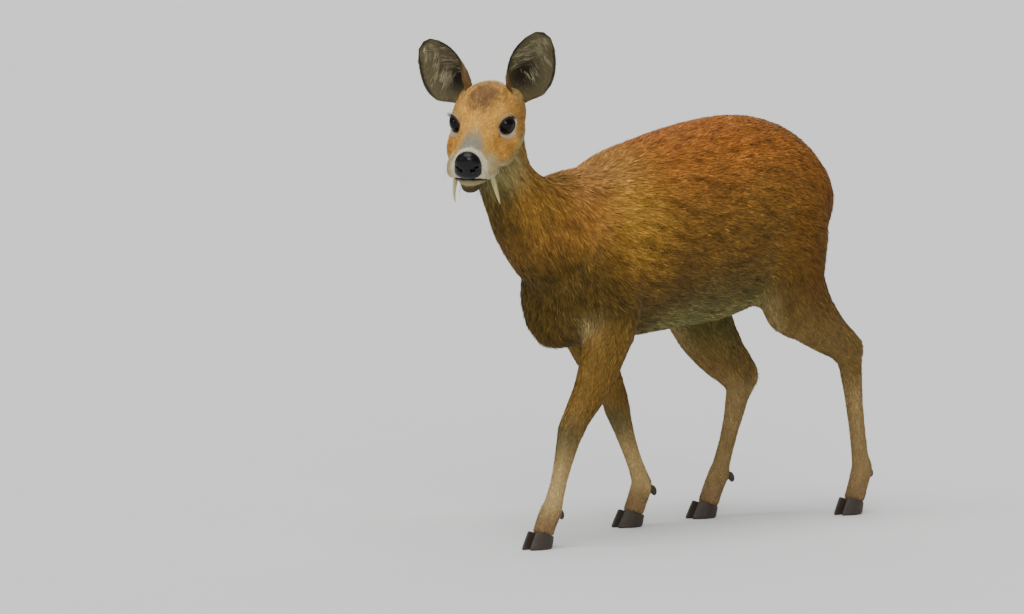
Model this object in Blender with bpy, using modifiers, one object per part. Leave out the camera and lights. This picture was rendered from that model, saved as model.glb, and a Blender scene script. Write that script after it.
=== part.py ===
# A life-size still model of a chinese water deer buck, walking with its head turned to its left.
# Metres. +Z is up, -Y is the way it walks, and +X is its left side. The hooves stand on z = 0.
# Places on the animal are given as (forward, left, up) and turned into world points by spot().

import math

import bmesh
import bpy
from mathutils import Matrix, Vector

# Driving dimensions
GAP = 0.0003
BODY_VOXEL = 0.0026
HEAD_VOXEL = 0.0016
RING_POINTS = 28
STEPS_BETWEEN = 4
EYE_RADIUS = 0.0134
EYE_PLACE = (0.0055, 0.0282, 0.0022)
EYE_TURN = math.radians(46)
LID_RADIUS = 0.0021
# Hollow of the face round the eye, in the eyeball's own directions: centre, then half sizes
EYE_DISH = ((0.0, 0.0, 0.0190), (0.0205, 0.0180, 0.0165))
EAR_LENGTH = 0.088
EAR_WALL = 0.0024
TUSK_ROOT_RADIUS = 0.0038
HOOF_HALF_WIDTH = 0.0078
HOOF_LENGTH = 0.041
CORONET_HEIGHT = 0.0185
CORONET_SLOPE = math.radians(16)
TOE_SPREAD = 0.0088

# Triangles that each node is brought down to
TORSO_FACES = 2000
NECK_FACES = 600
HEAD_FACES = 2900
LEG_FACES = 700

# Head: the point midway between the eyes, and how the face is turned
EYES_MIDPOINT = (0.4172, 0.0393, 0.5426)
HEAD_YAW = math.radians(29.5)
HEAD_PITCH = math.radians(26.5)
HEAD_ROLL = math.radians(1.5)

# Torso sections: forward, top, bottom, half width, and the share of the height where it is widest
TORSO = (
    (0.272, 0.375, 0.272, 0.028, 0.45),
    (0.256, 0.412, 0.249, 0.050, 0.45),
    (0.217, 0.455, 0.247, 0.070, 0.45),
    (0.160, 0.491, 0.251, 0.082, 0.46),
    (0.085, 0.511, 0.256, 0.091, 0.46),
    (0.010, 0.526, 0.261, 0.096, 0.47),
    (-0.066, 0.535, 0.268, 0.098, 0.48),
    (-0.125, 0.533, 0.285, 0.094, 0.52),
    (-0.178, 0.518, 0.310, 0.084, 0.55),
    (-0.218, 0.489, 0.338, 0.068, 0.58),
    (-0.246, 0.456, 0.370, 0.046, 0.58),
    (-0.259, 0.432, 0.395, 0.024, 0.55),
)

# Limbs and neck: forward, left, up, half depth along the animal, half width across it
NECK = (
    (0.190, 0.000, 0.385, 0.094, 0.066),
    (0.240, 0.000, 0.396, 0.084, 0.061),
    (0.283, 0.001, 0.413, 0.065, 0.049),
    (0.312, 0.002, 0.436, 0.049, 0.041),
    (0.337, 0.003, 0.466, 0.039, 0.035),
    (0.354, 0.006, 0.502, 0.036, 0.034),
    (0.362, 0.009, 0.535, 0.037, 0.035),
    (0.372, 0.013, 0.560, 0.032, 0.031),
)
FORE_LEFT = (
    (0.165, 0.036, 0.430, 0.034, 0.018),
    (0.205, 0.052, 0.372, 0.046, 0.031),
    (0.200, 0.062, 0.300, 0.043, 0.028),
    (0.214, 0.062, 0.255, 0.035, 0.026),
    (0.236, 0.059, 0.203, 0.027, 0.021),
    (0.259, 0.055, 0.167, 0.0200, 0.0172),
    (0.272, 0.054, 0.146, 0.0182, 0.0168),
    (0.278, 0.053, 0.127, 0.0150, 0.0140),
    (0.289, 0.051, 0.088, 0.0116, 0.0112),
    (0.298, 0.050, 0.060, 0.0122, 0.0122),
    (0.303, 0.050, 0.048, 0.0146, 0.0146),
    (0.313, 0.050, 0.032, 0.0132, 0.0150),
    (0.322, 0.050, 0.012, 0.0135, 0.0162),
)
FORE_RIGHT = (
    (0.155, -0.036, 0.430, 0.034, 0.018),
    (0.175, -0.052, 0.372, 0.046, 0.031),
    (0.140, -0.062, 0.300, 0.041, 0.027),
    (0.118, -0.062, 0.255, 0.034, 0.025),
    (0.090, -0.059, 0.205, 0.026, 0.021),
    (0.074, -0.055, 0.174, 0.0198, 0.0172),
    (0.067, -0.054, 0.155, 0.0182, 0.0168),
    (0.060, -0.053, 0.136, 0.0150, 0.0140),
    (0.043, -0.051, 0.096, 0.0116, 0.0112),
    (0.029, -0.050, 0.066, 0.0122, 0.0122),
    (0.024, -0.050, 0.052, 0.0146, 0.0146),
    (0.033, -0.050, 0.034, 0.0132, 0.0150),
    (0.043, -0.050, 0.012, 0.0135, 0.0162),
)
HIND_LEFT = (
    (-0.145, 0.042, 0.450, 0.056, 0.026),
    (-0.142, 0.060, 0.405, 0.066, 0.036),
    (-0.133, 0.066, 0.345, 0.064, 0.036),
    (-0.141, 0.068, 0.300, 0.058, 0.031),
    (-0.176, 0.066, 0.271, 0.042, 0.026),
    (-0.216, 0.062, 0.243, 0.029, 0.0200),
    (-0.244, 0.059, 0.226, 0.0215, 0.0158),
    (-0.263, 0.058, 0.210, 0.0205, 0.0152),
    (-0.271, 0.057, 0.182, 0.0160, 0.0135),
    (-0.280, 0.056, 0.135, 0.0122, 0.0115),
    (-0.291, 0.055, 0.078, 0.0120, 0.0120),
    (-0.295, 0.055, 0.060, 0.0150, 0.0148),
    (-0.287, 0.055, 0.038, 0.0134, 0.0148),
    (-0.277, 0.055, 0.012, 0.0138, 0.0162),
)
HIND_RIGHT = (
    (-0.142, -0.042, 0.450, 0.056, 0.026),
    (-0.130, -0.060, 0.405, 0.066, 0.036),
    (-0.104, -0.066, 0.340, 0.064, 0.035),
    (-0.092, -0.068, 0.295, 0.055, 0.031),
    (-0.108, -0.066, 0.255, 0.045, 0.028),
    (-0.137, -0.062, 0.216, 0.034, 0.0230),
    (-0.160, -0.059, 0.192, 0.0250, 0.0180),
    (-0.174, -0.058, 0.174, 0.0215, 0.0160),
    (-0.169, -0.057, 0.148, 0.0165, 0.0138),
    (-0.155, -0.056, 0.110, 0.0124, 0.0116),
    (-0.139, -0.055, 0.072, 0.0120, 0.0120),
    (-0.134, -0.055, 0.058, 0.0150, 0.0148),
    (-0.121, -0.055, 0.037, 0.0134, 0.0148),
    (-0.109, -0.055, 0.012, 0.0138, 0.0162),
)
# The point of each hock, with the heel tendon that runs up from it
HOCK_LEFT = (
    (-0.165, 0.062, 0.345, 0.030, 0.020),
    (-0.189, 0.063, 0.309, 0.022, 0.014),
    (-0.207, 0.062, 0.287, 0.016, 0.011),
    (-0.236, 0.060, 0.262, 0.0100, 0.0080),
    (-0.268, 0.058, 0.238, 0.0085, 0.0078),
    (-0.280, 0.058, 0.224, 0.0095, 0.0090),
    (-0.276, 0.058, 0.196, 0.0080, 0.0080),
)
HOCK_RIGHT = (
    (-0.128, -0.062, 0.330, 0.030, 0.020),
    (-0.141, -0.063, 0.290, 0.022, 0.015),
    (-0.149, -0.062, 0.260, 0.016, 0.012),
    (-0.173, -0.060, 0.226, 0.0105, 0.0085),
    (-0.198, -0.058, 0.196, 0.0088, 0.0080),
    (-0.202, -0.058, 0.181, 0.0095, 0.0090),
    (-0.187, -0.058, 0.158, 0.0080, 0.0080),
)
TAIL = (
    (-0.228, 0.000, 0.458, 0.013, 0.013),
    (-0.253, 0.000, 0.450, 0.011, 0.013),
    (-0.2665, 0.000, 0.428, 0.0080, 0.0130),
    (-0.2695, 0.000, 0.404, 0.0060, 0.0105),
    (-0.2680, 0.000, 0.386, 0.0022, 0.0040),
)

# Head sections, from the point between the eyes: forward, top, bottom, half width, widest share
SKULL = (
    (-0.078, 0.010, -0.026, 0.026, 0.50),
    (-0.066, 0.021, -0.042, 0.038, 0.50),
    (-0.047, 0.0300, -0.051, 0.0445, 0.52),
    (-0.024, 0.0350, -0.054, 0.0450, 0.55),
    (-0.006, 0.0335, -0.054, 0.0440, 0.55),
    (0.011, 0.0280, -0.053, 0.0365, 0.50),
    (0.028, 0.0210, -0.053, 0.0295, 0.44),
    (0.048, 0.0140, -0.053, 0.0270, 0.42),
    (0.068, 0.0085, -0.0530, 0.0260, 0.44),
    (0.084, 0.0050, -0.0500, 0.0225, 0.48),
    (0.093, 0.0000, -0.0430, 0.0160, 0.45),
    (0.098, -0.005, -0.0350, 0.0080, 0.50),
)
# Fleshy swellings of the head: centre forward, out to the side, up, then the three half sizes
HEAD_PAIRS = {
    "lip": ((0.066, 0.0203, -0.0245), (0.027, 0.0132, 0.0165)),
    "cheek": ((0.010, 0.0272, -0.0250), (0.041, 0.0180, 0.0240)),
    "jaw_muscle": ((-0.026, 0.0262, -0.0260), (0.034, 0.0190, 0.0270)),
    "brow": ((-0.004, 0.0252, 0.0135), (0.021, 0.0120, 0.0085)),
    "socket": ((0.002, 0.0252, 0.0005), (0.019, 0.0140, 0.0165)),
    "ear_root": ((-0.047, 0.0260, 0.0030), (0.021, 0.0170, 0.0190)),
}
HEAD_SINGLES = {
    "crown": ((-0.034, 0.0, 0.0190), (0.032, 0.0280, 0.0150)),
    "chin": ((0.076, -0.0030, -0.0475), (0.015, 0.0160, 0.0085)),
    "muzzle_top": ((0.074, 0.0, -0.0080), (0.022, 0.0200, 0.0140)),
}
# Mouth line on one side, from the head's middle outward to the corner: forward, side, up
MOUTH_LINE = (
    (0.097, 0.000, -0.0265),
    (0.091, 0.014, -0.0287),
    (0.080, 0.023, -0.0335),
    (0.064, 0.028, -0.0370),
    (0.050, 0.028, -0.0373),
    (0.040, 0.028, -0.0360),
)
MOUTH_GROOVE = 0.0014
TUSK = (
    (0.0650, 0.0215, -0.0330),
    (0.0668, 0.0240, -0.0440),
    (0.0675, 0.0262, -0.0550),
    (0.0668, 0.0278, -0.0655),
    (0.0645, 0.0286, -0.0745),
    (0.0610, 0.0286, -0.0820),
)
# Ear sections: share of the length, radius of the rolled sheet, half angle it is rolled through
EAR_SECTIONS = (
    (0.00, 0.0175, 145),
    (0.12, 0.0215, 126),
    (0.28, 0.0265, 104),
    (0.45, 0.0310, 83),
    (0.62, 0.0330, 66),
    (0.78, 0.0325, 51),
    (0.89, 0.0305, 38),
    (0.96, 0.0285, 27),
    (1.01, 0.0270, 16),
)
EAR_BASE = (-0.048, 0.0325, 0.0060)
EAR_LEANS = {1: math.radians(22.5), -1: math.radians(42)}
EAR_FACES_OUT = {1: math.radians(20), -1: math.radians(-4)}
EAR_BACK_TILT = math.radians(28)
NOSE_CENTRE = (0.0895, 0.0, -0.0110)
NOSE_SIZE = (0.0130, 0.0172, 0.0185)
NOSE_BACK = 0.0860
NOSE_NARROWS = 0.16
# The lower jaw narrows below the mouth line over this height, more and more between two lengths
LIP_STEP = 0.0040
CHIN_TUCK = (0.030, 0.060)
CHIN_NARROWS = 0.17

# Foot places: forward, left, and how far the toes turn outward
FEET = {
    "fore_left": (0.329, 0.050, math.radians(5)),
    "fore_right": (0.051, -0.050, math.radians(-4)),
    "hind_left": (-0.268, 0.055, math.radians(6)),
    "hind_right": (-0.099, -0.055, math.radians(-4)),
}
LEGS = {
    "fore_left": (FORE_LEFT, ()),
    "fore_right": (FORE_RIGHT, ()),
    "hind_left": (HIND_LEFT, HOCK_LEFT),
    "hind_right": (HIND_RIGHT, HOCK_RIGHT),
}
# Where each leg is parted from the torso: inner and outer height of the slanting cut, and its
# reach from rear to front. The cut runs from the inner side to the outer side.
LEG_CUT_INNER = 0.010
LEG_CUT_OUTER = 0.140
LEG_CUTS = {
    "fore_left": (0.234, 0.334, 0.120, 0.400),
    "fore_right": (0.234, 0.334, -0.040, 0.260),
    "hind_left": (0.251, 0.384, -0.360, -0.074),
    "hind_right": (0.251, 0.384, -0.300, -0.026),
}
NECK_CUT = ((0.272, 0.0, 0.425), (0.76, 0.0, 0.65))
HEAD_CUT = ((0.3520, 0.008, 0.5230), (0.62, 0.15, 0.77))

# Colours, as red, green, blue, then roughness
COLOURS = {
    "coat": (0.36, 0.145, 0.045, 0.85),
    "neck_coat": (0.27, 0.135, 0.050, 0.85),
    "face_coat": (0.45, 0.215, 0.070, 0.85),
    "leg_coat": (0.26, 0.115, 0.045, 0.85),
    "ear_coat": (0.20, 0.150, 0.110, 0.85),
    "eye": (0.010, 0.008, 0.007, 0.08),
    "nose": (0.014, 0.014, 0.016, 0.35),
    "tusk": (0.72, 0.60, 0.38, 0.35),
    "horn": (0.030, 0.025, 0.022, 0.45),
}


def spot(place):
    """World point of a (forward, left, up) place."""
    forward, left, up = place
    return Vector((left, -forward, up))


def head_frame():
    """Matrix from head coordinates (forward, left, up from between the eyes) to the world."""
    cy, sy = math.cos(HEAD_YAW), math.sin(HEAD_YAW)
    cp, sp = math.cos(HEAD_PITCH), math.sin(HEAD_PITCH)
    ahead = spot((cy * cp, sy * cp, -sp))
    side = spot((-sy, cy, 0.0))
    above = spot((cy * sp, sy * sp, cp))
    frame = Matrix((ahead, side, above)).transposed().to_4x4()
    frame.translation = spot(EYES_MIDPOINT)
    return frame @ Matrix.Rotation(-HEAD_ROLL, 4, "X")


def clear_scene():
    for obj in list(bpy.data.objects):
        bpy.data.objects.remove(obj)


def bake(obj):
    """Applies the modifiers of obj to its mesh."""
    graph = bpy.context.evaluated_depsgraph_get()
    mesh = bpy.data.meshes.new_from_object(obj.evaluated_get(graph))
    obj.modifiers.clear()
    obj.data = mesh
    return obj


def put(name, mesh):
    obj = bpy.data.objects.new(name, mesh)
    bpy.context.scene.collection.objects.link(obj)
    return obj


def mesh_object(name, work):
    """Object made from a bmesh, with its faces pointing out."""
    bmesh.ops.recalc_face_normals(work, faces=work.faces)
    if work.calc_volume(signed=True) < 0:
        bmesh.ops.reverse_faces(work, faces=work.faces)
    mesh = bpy.data.meshes.new(name)
    work.to_mesh(mesh)
    work.free()
    return put(name, mesh)


def twin(name, obj):
    return put(name, obj.data.copy())


def discard(*objects):
    for obj in objects:
        bpy.data.objects.remove(obj)


def smooth_stations(stations):
    """Stations with others put between them on a smooth curve through all the values."""
    found = []
    last = len(stations) - 1
    for i in range(last):
        before, first = stations[max(i - 1, 0)], stations[i]
        second, after = stations[i + 1], stations[min(i + 2, last)]
        for step in range(STEPS_BETWEEN):
            t = step / STEPS_BETWEEN
            found.append(tuple(
                0.5 * (2 * b + (c - a) * t + (2 * a - 5 * b + 4 * c - d) * t * t
                       + (3 * b - a - 3 * c + d) * t ** 3)
                for a, b, c, d in zip(before, first, second, after)))
    found.append(stations[last])
    return found


def loft(name, rings):
    """Closed skin through rings that have the same number of points."""
    work = bmesh.new()
    rows = [[work.verts.new(point) for point in ring] for ring in rings]
    count = len(rows[0])
    for row, following in zip(rows, rows[1:]):
        for i in range(count):
            j = (i + 1) % count
            work.faces.new((row[i], row[j], following[j], following[i]))
    work.faces.new(rows[0])
    work.faces.new(rows[-1])
    return mesh_object(name, work)


def turns(count=RING_POINTS):
    return [2 * math.pi * i / count for i in range(count)]


def egg_ring(forward, top, bottom, half_width, widest, place):
    """Upright section that is round above and below the height where it is widest."""
    middle = bottom + widest * (top - bottom)
    ring = []
    for a in turns():
        reach = top - middle if math.sin(a) > 0 else middle - bottom
        ring.append(place((forward, half_width * math.cos(a), middle + reach * math.sin(a))))
    return ring


def limb_rings(stations, count=RING_POINTS):
    """Round sections square to the path through the stations."""
    stations = smooth_stations(stations)
    centres = [spot(s[:3]) for s in stations]
    across = Vector((1, 0, 0))
    rings = []
    for i, station in enumerate(stations):
        path = (centres[min(i + 1, len(centres) - 1)] - centres[max(i - 1, 0)]).normalized()
        side = (across - path * across.dot(path)).normalized()
        deep = path.cross(side)
        rings.append([
            centres[i] + deep * station[3] * math.cos(a) + side * station[4] * math.sin(a)
            for a in turns(count)])
    return rings


def ellipsoid(name, centre, sizes, frame=Matrix(), segments=24, rings=14):
    """Ellipsoid whose centre and half sizes are given in the frame."""
    work = bmesh.new()
    bmesh.ops.create_uvsphere(work, u_segments=segments, v_segments=rings, radius=1.0)
    work.transform(frame @ Matrix.Translation(centre) @ Matrix.Diagonal((*sizes, 1.0)))
    return mesh_object(name, work)


def fuse(name, objects, voxel, rounds):
    """One smooth closed skin over overlapping closed pieces, which are used up."""
    work = bmesh.new()
    for obj in objects:
        work.from_mesh(obj.data)
    discard(*objects)
    fused = mesh_object(name, work)
    remesh = fused.modifiers.new("skin", "REMESH")
    remesh.mode = "VOXEL"
    remesh.voxel_size = voxel
    smooth = fused.modifiers.new("soften", "SMOOTH")
    smooth.factor = 0.5
    smooth.iterations = rounds
    return keep_largest(bake(fused))


def keep_largest(obj):
    """Leaves only the largest closed surface of obj."""
    work = bmesh.new()
    work.from_mesh(obj.data)
    unseen = set(work.faces)
    islands = []
    while unseen:
        island, border = set(), [unseen.pop()]
        while border:
            face = border.pop()
            island.add(face)
            for edge in face.edges:
                for other in edge.link_faces:
                    if other in unseen:
                        unseen.remove(other)
                        border.append(other)
        islands.append(island)
    islands.sort(key=lambda faces: sum(f.calc_area() for f in faces))
    loose = [face for island in islands[:-1] for face in island]
    bmesh.ops.delete(work, geom=loose, context="FACES")
    stray = [v for v in work.verts if not v.link_faces]
    bmesh.ops.delete(work, geom=stray, context="VERTS")
    work.to_mesh(obj.data)
    work.free()
    return obj


def thin_out(obj, faces):
    """Brings obj down to about this many triangles."""
    now = sum(len(p.vertices) - 2 for p in obj.data.polygons)
    cut = obj.modifiers.new("thin_out", "DECIMATE")
    cut.ratio = min(1.0, faces / now)
    cut.use_collapse_triangulate = True
    return bake(obj)


def trim(obj, planes, shift):
    """Cuts away what lies outside each (point, outward normal) plane moved out by shift."""
    work = bmesh.new()
    work.from_mesh(obj.data)
    for point, normal in planes:
        normal = Vector(normal).normalized()
        cut = bmesh.ops.bisect_plane(
            work, geom=work.verts[:] + work.edges[:] + work.faces[:], dist=1e-6,
            plane_co=Vector(point) + normal * shift, plane_no=normal, clear_outer=True)
        rim = [e for e in cut["geom_cut"] if isinstance(e, bmesh.types.BMEdge)]
        if rim:
            bmesh.ops.triangle_fill(work, edges=rim, use_beauty=True)
    bmesh.ops.recalc_face_normals(work, faces=work.faces)
    if work.calc_volume(signed=True) < 0:
        bmesh.ops.reverse_faces(work, faces=work.faces)
    work.to_mesh(obj.data)
    work.free()
    return obj


def boolean(obj, other, operation, solver="EXACT"):
    change = obj.modifiers.new("change", "BOOLEAN")
    change.operation = operation
    change.solver = solver
    change.object = other
    return keep_largest(bake(obj))


def swollen(obj, amount):
    """Copy of obj with its surface moved out by amount."""
    copy = twin(obj.name + "_swollen", obj)
    copy.data.update()
    moves = [v.normal * amount for v in copy.data.vertices]
    for vertex, move in zip(copy.data.vertices, moves):
        vertex.co += move
    return copy


def carve(host, piece):
    """Cuts host back to the surface of piece, with the gap that touching solids keep."""
    cutter = swollen(piece, GAP)
    boolean(host, cutter, "DIFFERENCE")
    discard(cutter)


def leg_prism(side, cut):
    """The slant-topped block that holds one leg: its corners and its (point, normal) planes."""
    inner_top, outer_top, rear, front = cut
    outline = (
        (LEG_CUT_INNER, -0.02), (LEG_CUT_OUTER, -0.02),
        (LEG_CUT_OUTER, outer_top), (LEG_CUT_INNER, inner_top))
    corners = [[spot((f, side * x, z)) for x, z in outline] for f in (rear, front)]
    centre = sum((c for row in corners for c in row), Vector()) / 8
    sides = [(corners[0][i], corners[0][(i + 1) % 4], corners[1][i]) for i in range(4)]
    sides += [corners[0][:3], corners[1][:3]]
    planes = []
    for a, b, c in sides:
        normal = (b - a).cross(c - a).normalized()
        if (a - centre).dot(normal) < 0:
            normal = -normal
        planes.append((a, normal))
    return corners, planes


def body_skin():
    """Torso, neck, back of the head and legs as one skin: the trunk is softened the most."""
    trunk = [loft("torso_form", [egg_ring(*s, spot) for s in smooth_stations(TORSO)])]
    trunk.append(loft("neck_form", limb_rings(NECK)))
    trunk.append(head_form())
    lower = []
    for name, (leg, hock) in LEGS.items():
        trunk.append(loft(name + "_upper", limb_rings(leg[:5])))
        lower.append(loft(name + "_lower", limb_rings(leg[3:])))
        if hock:
            lower.append(loft(name + "_hock_form", limb_rings(hock)))
    return fuse("body_skin", [fuse("trunk", trunk, BODY_VOXEL, 26), *lower], BODY_VOXEL, 5)


def head_form():
    frame = head_frame()
    return loft("skull_form", [
        egg_ring(*s, lambda p: frame @ Vector(p)) for s in smooth_stations(SKULL)])


def lid_ring(side):
    """Rim of the lids: an oval ring on the eyeball, drawn out to the tear corner."""
    frame = head_frame() @ eye_frame(side)
    rings = []
    for a in turns(28):
        tear = max(0.0, math.cos(a)) ** 8
        centre = Vector((
            (EYE_RADIUS * 1.10 + 0.0030 * tear) * math.cos(a),
            EYE_RADIUS * 0.99 * math.sin(a),
            EYE_RADIUS * (0.27 + 0.06 * math.sin(a)) - 0.0025 * tear))
        away = Vector((math.cos(a), math.sin(a), 0.0))
        rings.append([
            frame @ (centre + LID_RADIUS * (away * math.cos(b) + Vector((0, 0, math.sin(b)))))
            for b in turns(10)])
    work = bmesh.new()
    rows = [[work.verts.new(point) for point in ring] for ring in rings]
    for i, row in enumerate(rows):
        following = rows[(i + 1) % len(rows)]
        for j in range(len(row)):
            k = (j + 1) % len(row)
            work.faces.new((row[j], row[k], following[k], following[j]))
    return mesh_object("lid_form", work)


def eye_frame(side):
    """Frame at an eyeball's centre: +Z looks out of the eye, +X is towards the tear corner."""
    look = Vector((math.cos(EYE_TURN), side * math.sin(EYE_TURN), 0.10)).normalized()
    tear = Vector((math.sin(EYE_TURN), -side * math.cos(EYE_TURN), -0.24))
    tear = (tear - look * tear.dot(look)).normalized()
    above = look.cross(tear) * side
    frame = Matrix((tear, above, look)).transposed().to_4x4()
    x, y, z = EYE_PLACE
    frame.translation = Vector((x, side * y, z))
    return frame


def tuck_chin(obj, frame):
    """Draws the lower jaw in, so that the upper lip hangs over it along the mouth line."""
    back = frame.inverted()
    line = sorted((x, z) for x, _, z in MOUTH_LINE)
    for vertex in obj.data.vertices:
        x, y, z = back @ vertex.co
        height = line[0][1]
        for (near, low), (far, high) in zip(line, line[1:]):
            if x >= near:
                height = low + (high - low) * min(1.0, (x - near) / (far - near))
        below = min(1.0, max(0.0, (height - z) / LIP_STEP))
        ahead = min(1.0, max(0.0, (x - CHIN_TUCK[0]) / (CHIN_TUCK[1] - CHIN_TUCK[0])))
        share = below ** 2 * (3.0 - 2.0 * below) * ahead ** 2 * (3.0 - 2.0 * ahead)
        vertex.co = frame @ Vector((x, y * (1.0 - CHIN_NARROWS * share), z))


def head_skin():
    """Head with its swellings and lids on the top of the neck, as one fine skin."""
    frame = head_frame()
    pieces = [head_form(), loft("neck_form", limb_rings(NECK[2:]))]
    for name, (centre, sizes) in HEAD_SINGLES.items():
        pieces.append(ellipsoid(name, centre, sizes, frame))
    for side in (1, -1):
        for name, ((x, y, z), sizes) in HEAD_PAIRS.items():
            pieces.append(ellipsoid(name, (x, side * y, z), sizes, frame))
    fused = fuse("head_bulk", pieces, HEAD_VOXEL, 34)
    tuck_chin(fused, frame)
    for side in (1, -1):
        dish = ellipsoid("dish", EYE_DISH[0], EYE_DISH[1], frame @ eye_frame(side))
        boolean(fused, dish, "DIFFERENCE")
        discard(dish)
    lids = [lid_ring(side) for side in (1, -1)]
    return fuse("head_skin", [fused, *lids], HEAD_VOXEL, 6)


def part_nodes(skin, fine_head):
    """Torso, neck, head and legs, parted by thin cuts."""
    neck_plane = (spot(NECK_CUT[0]), spot(NECK_CUT[1]))
    head_plane = (spot(HEAD_CUT[0]), spot(HEAD_CUT[1]))
    behind = (head_plane[0], -head_plane[1])
    rough, fine = 0.008, -GAP / 2

    head = twin("head", fine_head)
    trim(head, [behind], rough)
    thin_out(head, HEAD_FACES)
    trim(head, [behind], fine)

    neck = twin("neck", skin)
    neck_planes = [head_plane, (neck_plane[0], -neck_plane[1])]
    trim(neck, neck_planes, rough)
    thin_out(neck, NECK_FACES)
    trim(neck, neck_planes, fine)

    torso = twin("torso", skin)
    trim(torso, [neck_plane], rough)
    legs = {}
    for name, cut in LEG_CUTS.items():
        side = 1 if name.endswith("left") else -1
        corners, planes = leg_prism(side, cut)
        leg = twin("leg_" + name, skin)
        trim(leg, planes, rough)
        keep_largest(leg)
        thin_out(leg, LEG_FACES)
        trim(leg, planes, fine)
        legs[name] = keep_largest(leg)
    # The torso loses its legs roughly first, so that the triangles left are spent on itself.
    for shift, faces in ((-rough, TORSO_FACES), (GAP / 2, 0)):
        for name, cut in LEG_CUTS.items():
            side = 1 if name.endswith("left") else -1
            cutter = block("cutter", leg_prism(side, cut)[0], shift)
            boolean(torso, cutter, "DIFFERENCE", "MANIFOLD" if faces else "EXACT")
            discard(cutter)
        if faces:
            thin_out(torso, faces)
    trim(torso, [neck_plane], fine)
    return torso, neck, head, legs


def block(name, corners, grow):
    """Closed block on two outlines, with its faces moved out by grow."""
    work = bmesh.new()
    rows = [[work.verts.new(point) for point in row] for row in corners]
    for i in range(4):
        j = (i + 1) % 4
        work.faces.new((rows[0][i], rows[0][j], rows[1][j], rows[1][i]))
    work.faces.new(rows[0])
    work.faces.new(rows[1])
    bmesh.ops.recalc_face_normals(work, faces=work.faces)
    moved = {}
    for vertex in work.verts:
        normals = [f.normal.copy() for f in vertex.link_faces]
        system = Matrix(normals)
        moved[vertex] = system.inverted() @ Vector((grow, grow, grow))
    for vertex, move in moved.items():
        vertex.co += move
    return mesh_object(name, work)


def foot_frame(name):
    forward, left, turn = FEET[name]
    frame = Matrix.Translation(spot((forward, left, 0.0)))
    return frame @ Matrix.Rotation(-math.pi / 2 + turn, 4, "Z")


def coronet_plane(frame, shift=0.0):
    """The sloping plane between the hooves and the leg, facing up."""
    normal = Vector((-math.sin(CORONET_SLOPE), 0.0, math.cos(CORONET_SLOPE)))
    point = Vector((-0.008, 0.0, CORONET_HEIGHT)) + normal * shift
    return frame @ point, frame.to_3x3() @ normal


def hoof(name, frame, side):
    """One horn hoof, pointed ahead and flat below, cut off along the coronet."""
    levels = ((0.0, 0.94), (0.0025, 1.0), (0.010, 0.95), (0.018, 0.87), (0.034, 0.72))
    rings = []
    for height, share in levels:
        ring = []
        for a in turns(14):
            along, across = math.cos(a), math.sin(a)
            point = 0.5 * HOOF_LENGTH * along * share
            narrow = 1.0 - 0.55 * max(0.0, along) ** 1.5
            lean = -0.42 * height
            inward = 0.0028 * max(0.0, along) ** 2
            x = 0.004 + point + lean
            y = side * (TOE_SPREAD - inward) + HOOF_HALF_WIDTH * share * across * narrow
            ring.append(frame @ Vector((x, y, height)))
        rings.append(ring)
    piece = loft(name, rings)
    return trim(piece, [coronet_plane(frame, -GAP / 2)], 0.0)


def dewclaw(name, frame, side, fetlock):
    """Small horn claw behind the fetlock."""
    local = frame.inverted() @ spot(fetlock)
    centre = Vector((local.x - 0.0112, side * 0.0084, local.z - 0.006))
    turn = Matrix.Translation(centre) @ Matrix.Rotation(math.radians(24), 4, "Y")
    return ellipsoid(name, (0, 0, 0), (0.0048, 0.0042, 0.0078), frame @ turn, 8, 6)


def tusk(name, side):
    """Long curved canine, a tapered tube pointed at its end."""
    frame = head_frame()
    points = smooth_stations([(x, side * y, z) for x, y, z in TUSK])
    rings = []
    for i, point in enumerate(points):
        share = i / (len(points) - 1)
        radius = TUSK_ROOT_RADIUS * (1.0 - 0.93 * share ** 1.6)
        path = Vector(points[min(i + 1, len(points) - 1)]) - Vector(points[max(i - 1, 0)])
        path.normalize()
        across = (Vector((0, 1, 0)) - path * path.y).normalized()
        deep = path.cross(across)
        rings.append([
            frame @ (
                Vector(point)
                + deep * radius * 1.25 * math.cos(a)
                + across * radius * 0.8 * math.sin(a)
            )
            for a in turns(8)])
    return loft(name, rings[::2] + [rings[-1]] if (len(rings) - 1) % 2 else rings[::2])


def ear_frame(side):
    """Frame at the ear's base: +Z along the ear, +X out of the cup's mouth."""
    lean, out = EAR_LEANS[side], EAR_FACES_OUT[side]
    rise = Vector((-math.sin(EAR_BACK_TILT), 0.0, math.cos(EAR_BACK_TILT)))
    along = (rise * math.cos(lean) + Vector((0, side, 0)) * math.sin(lean)).normalized()
    mouth = Vector((math.cos(out), side * math.sin(out), 0.0))
    mouth = (mouth - along * mouth.dot(along)).normalized()
    frame = Matrix((mouth, along.cross(mouth), along)).transposed().to_4x4()
    x, y, z = EAR_BASE
    frame.translation = Vector((x, side * y, z))
    return head_frame() @ frame


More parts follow.
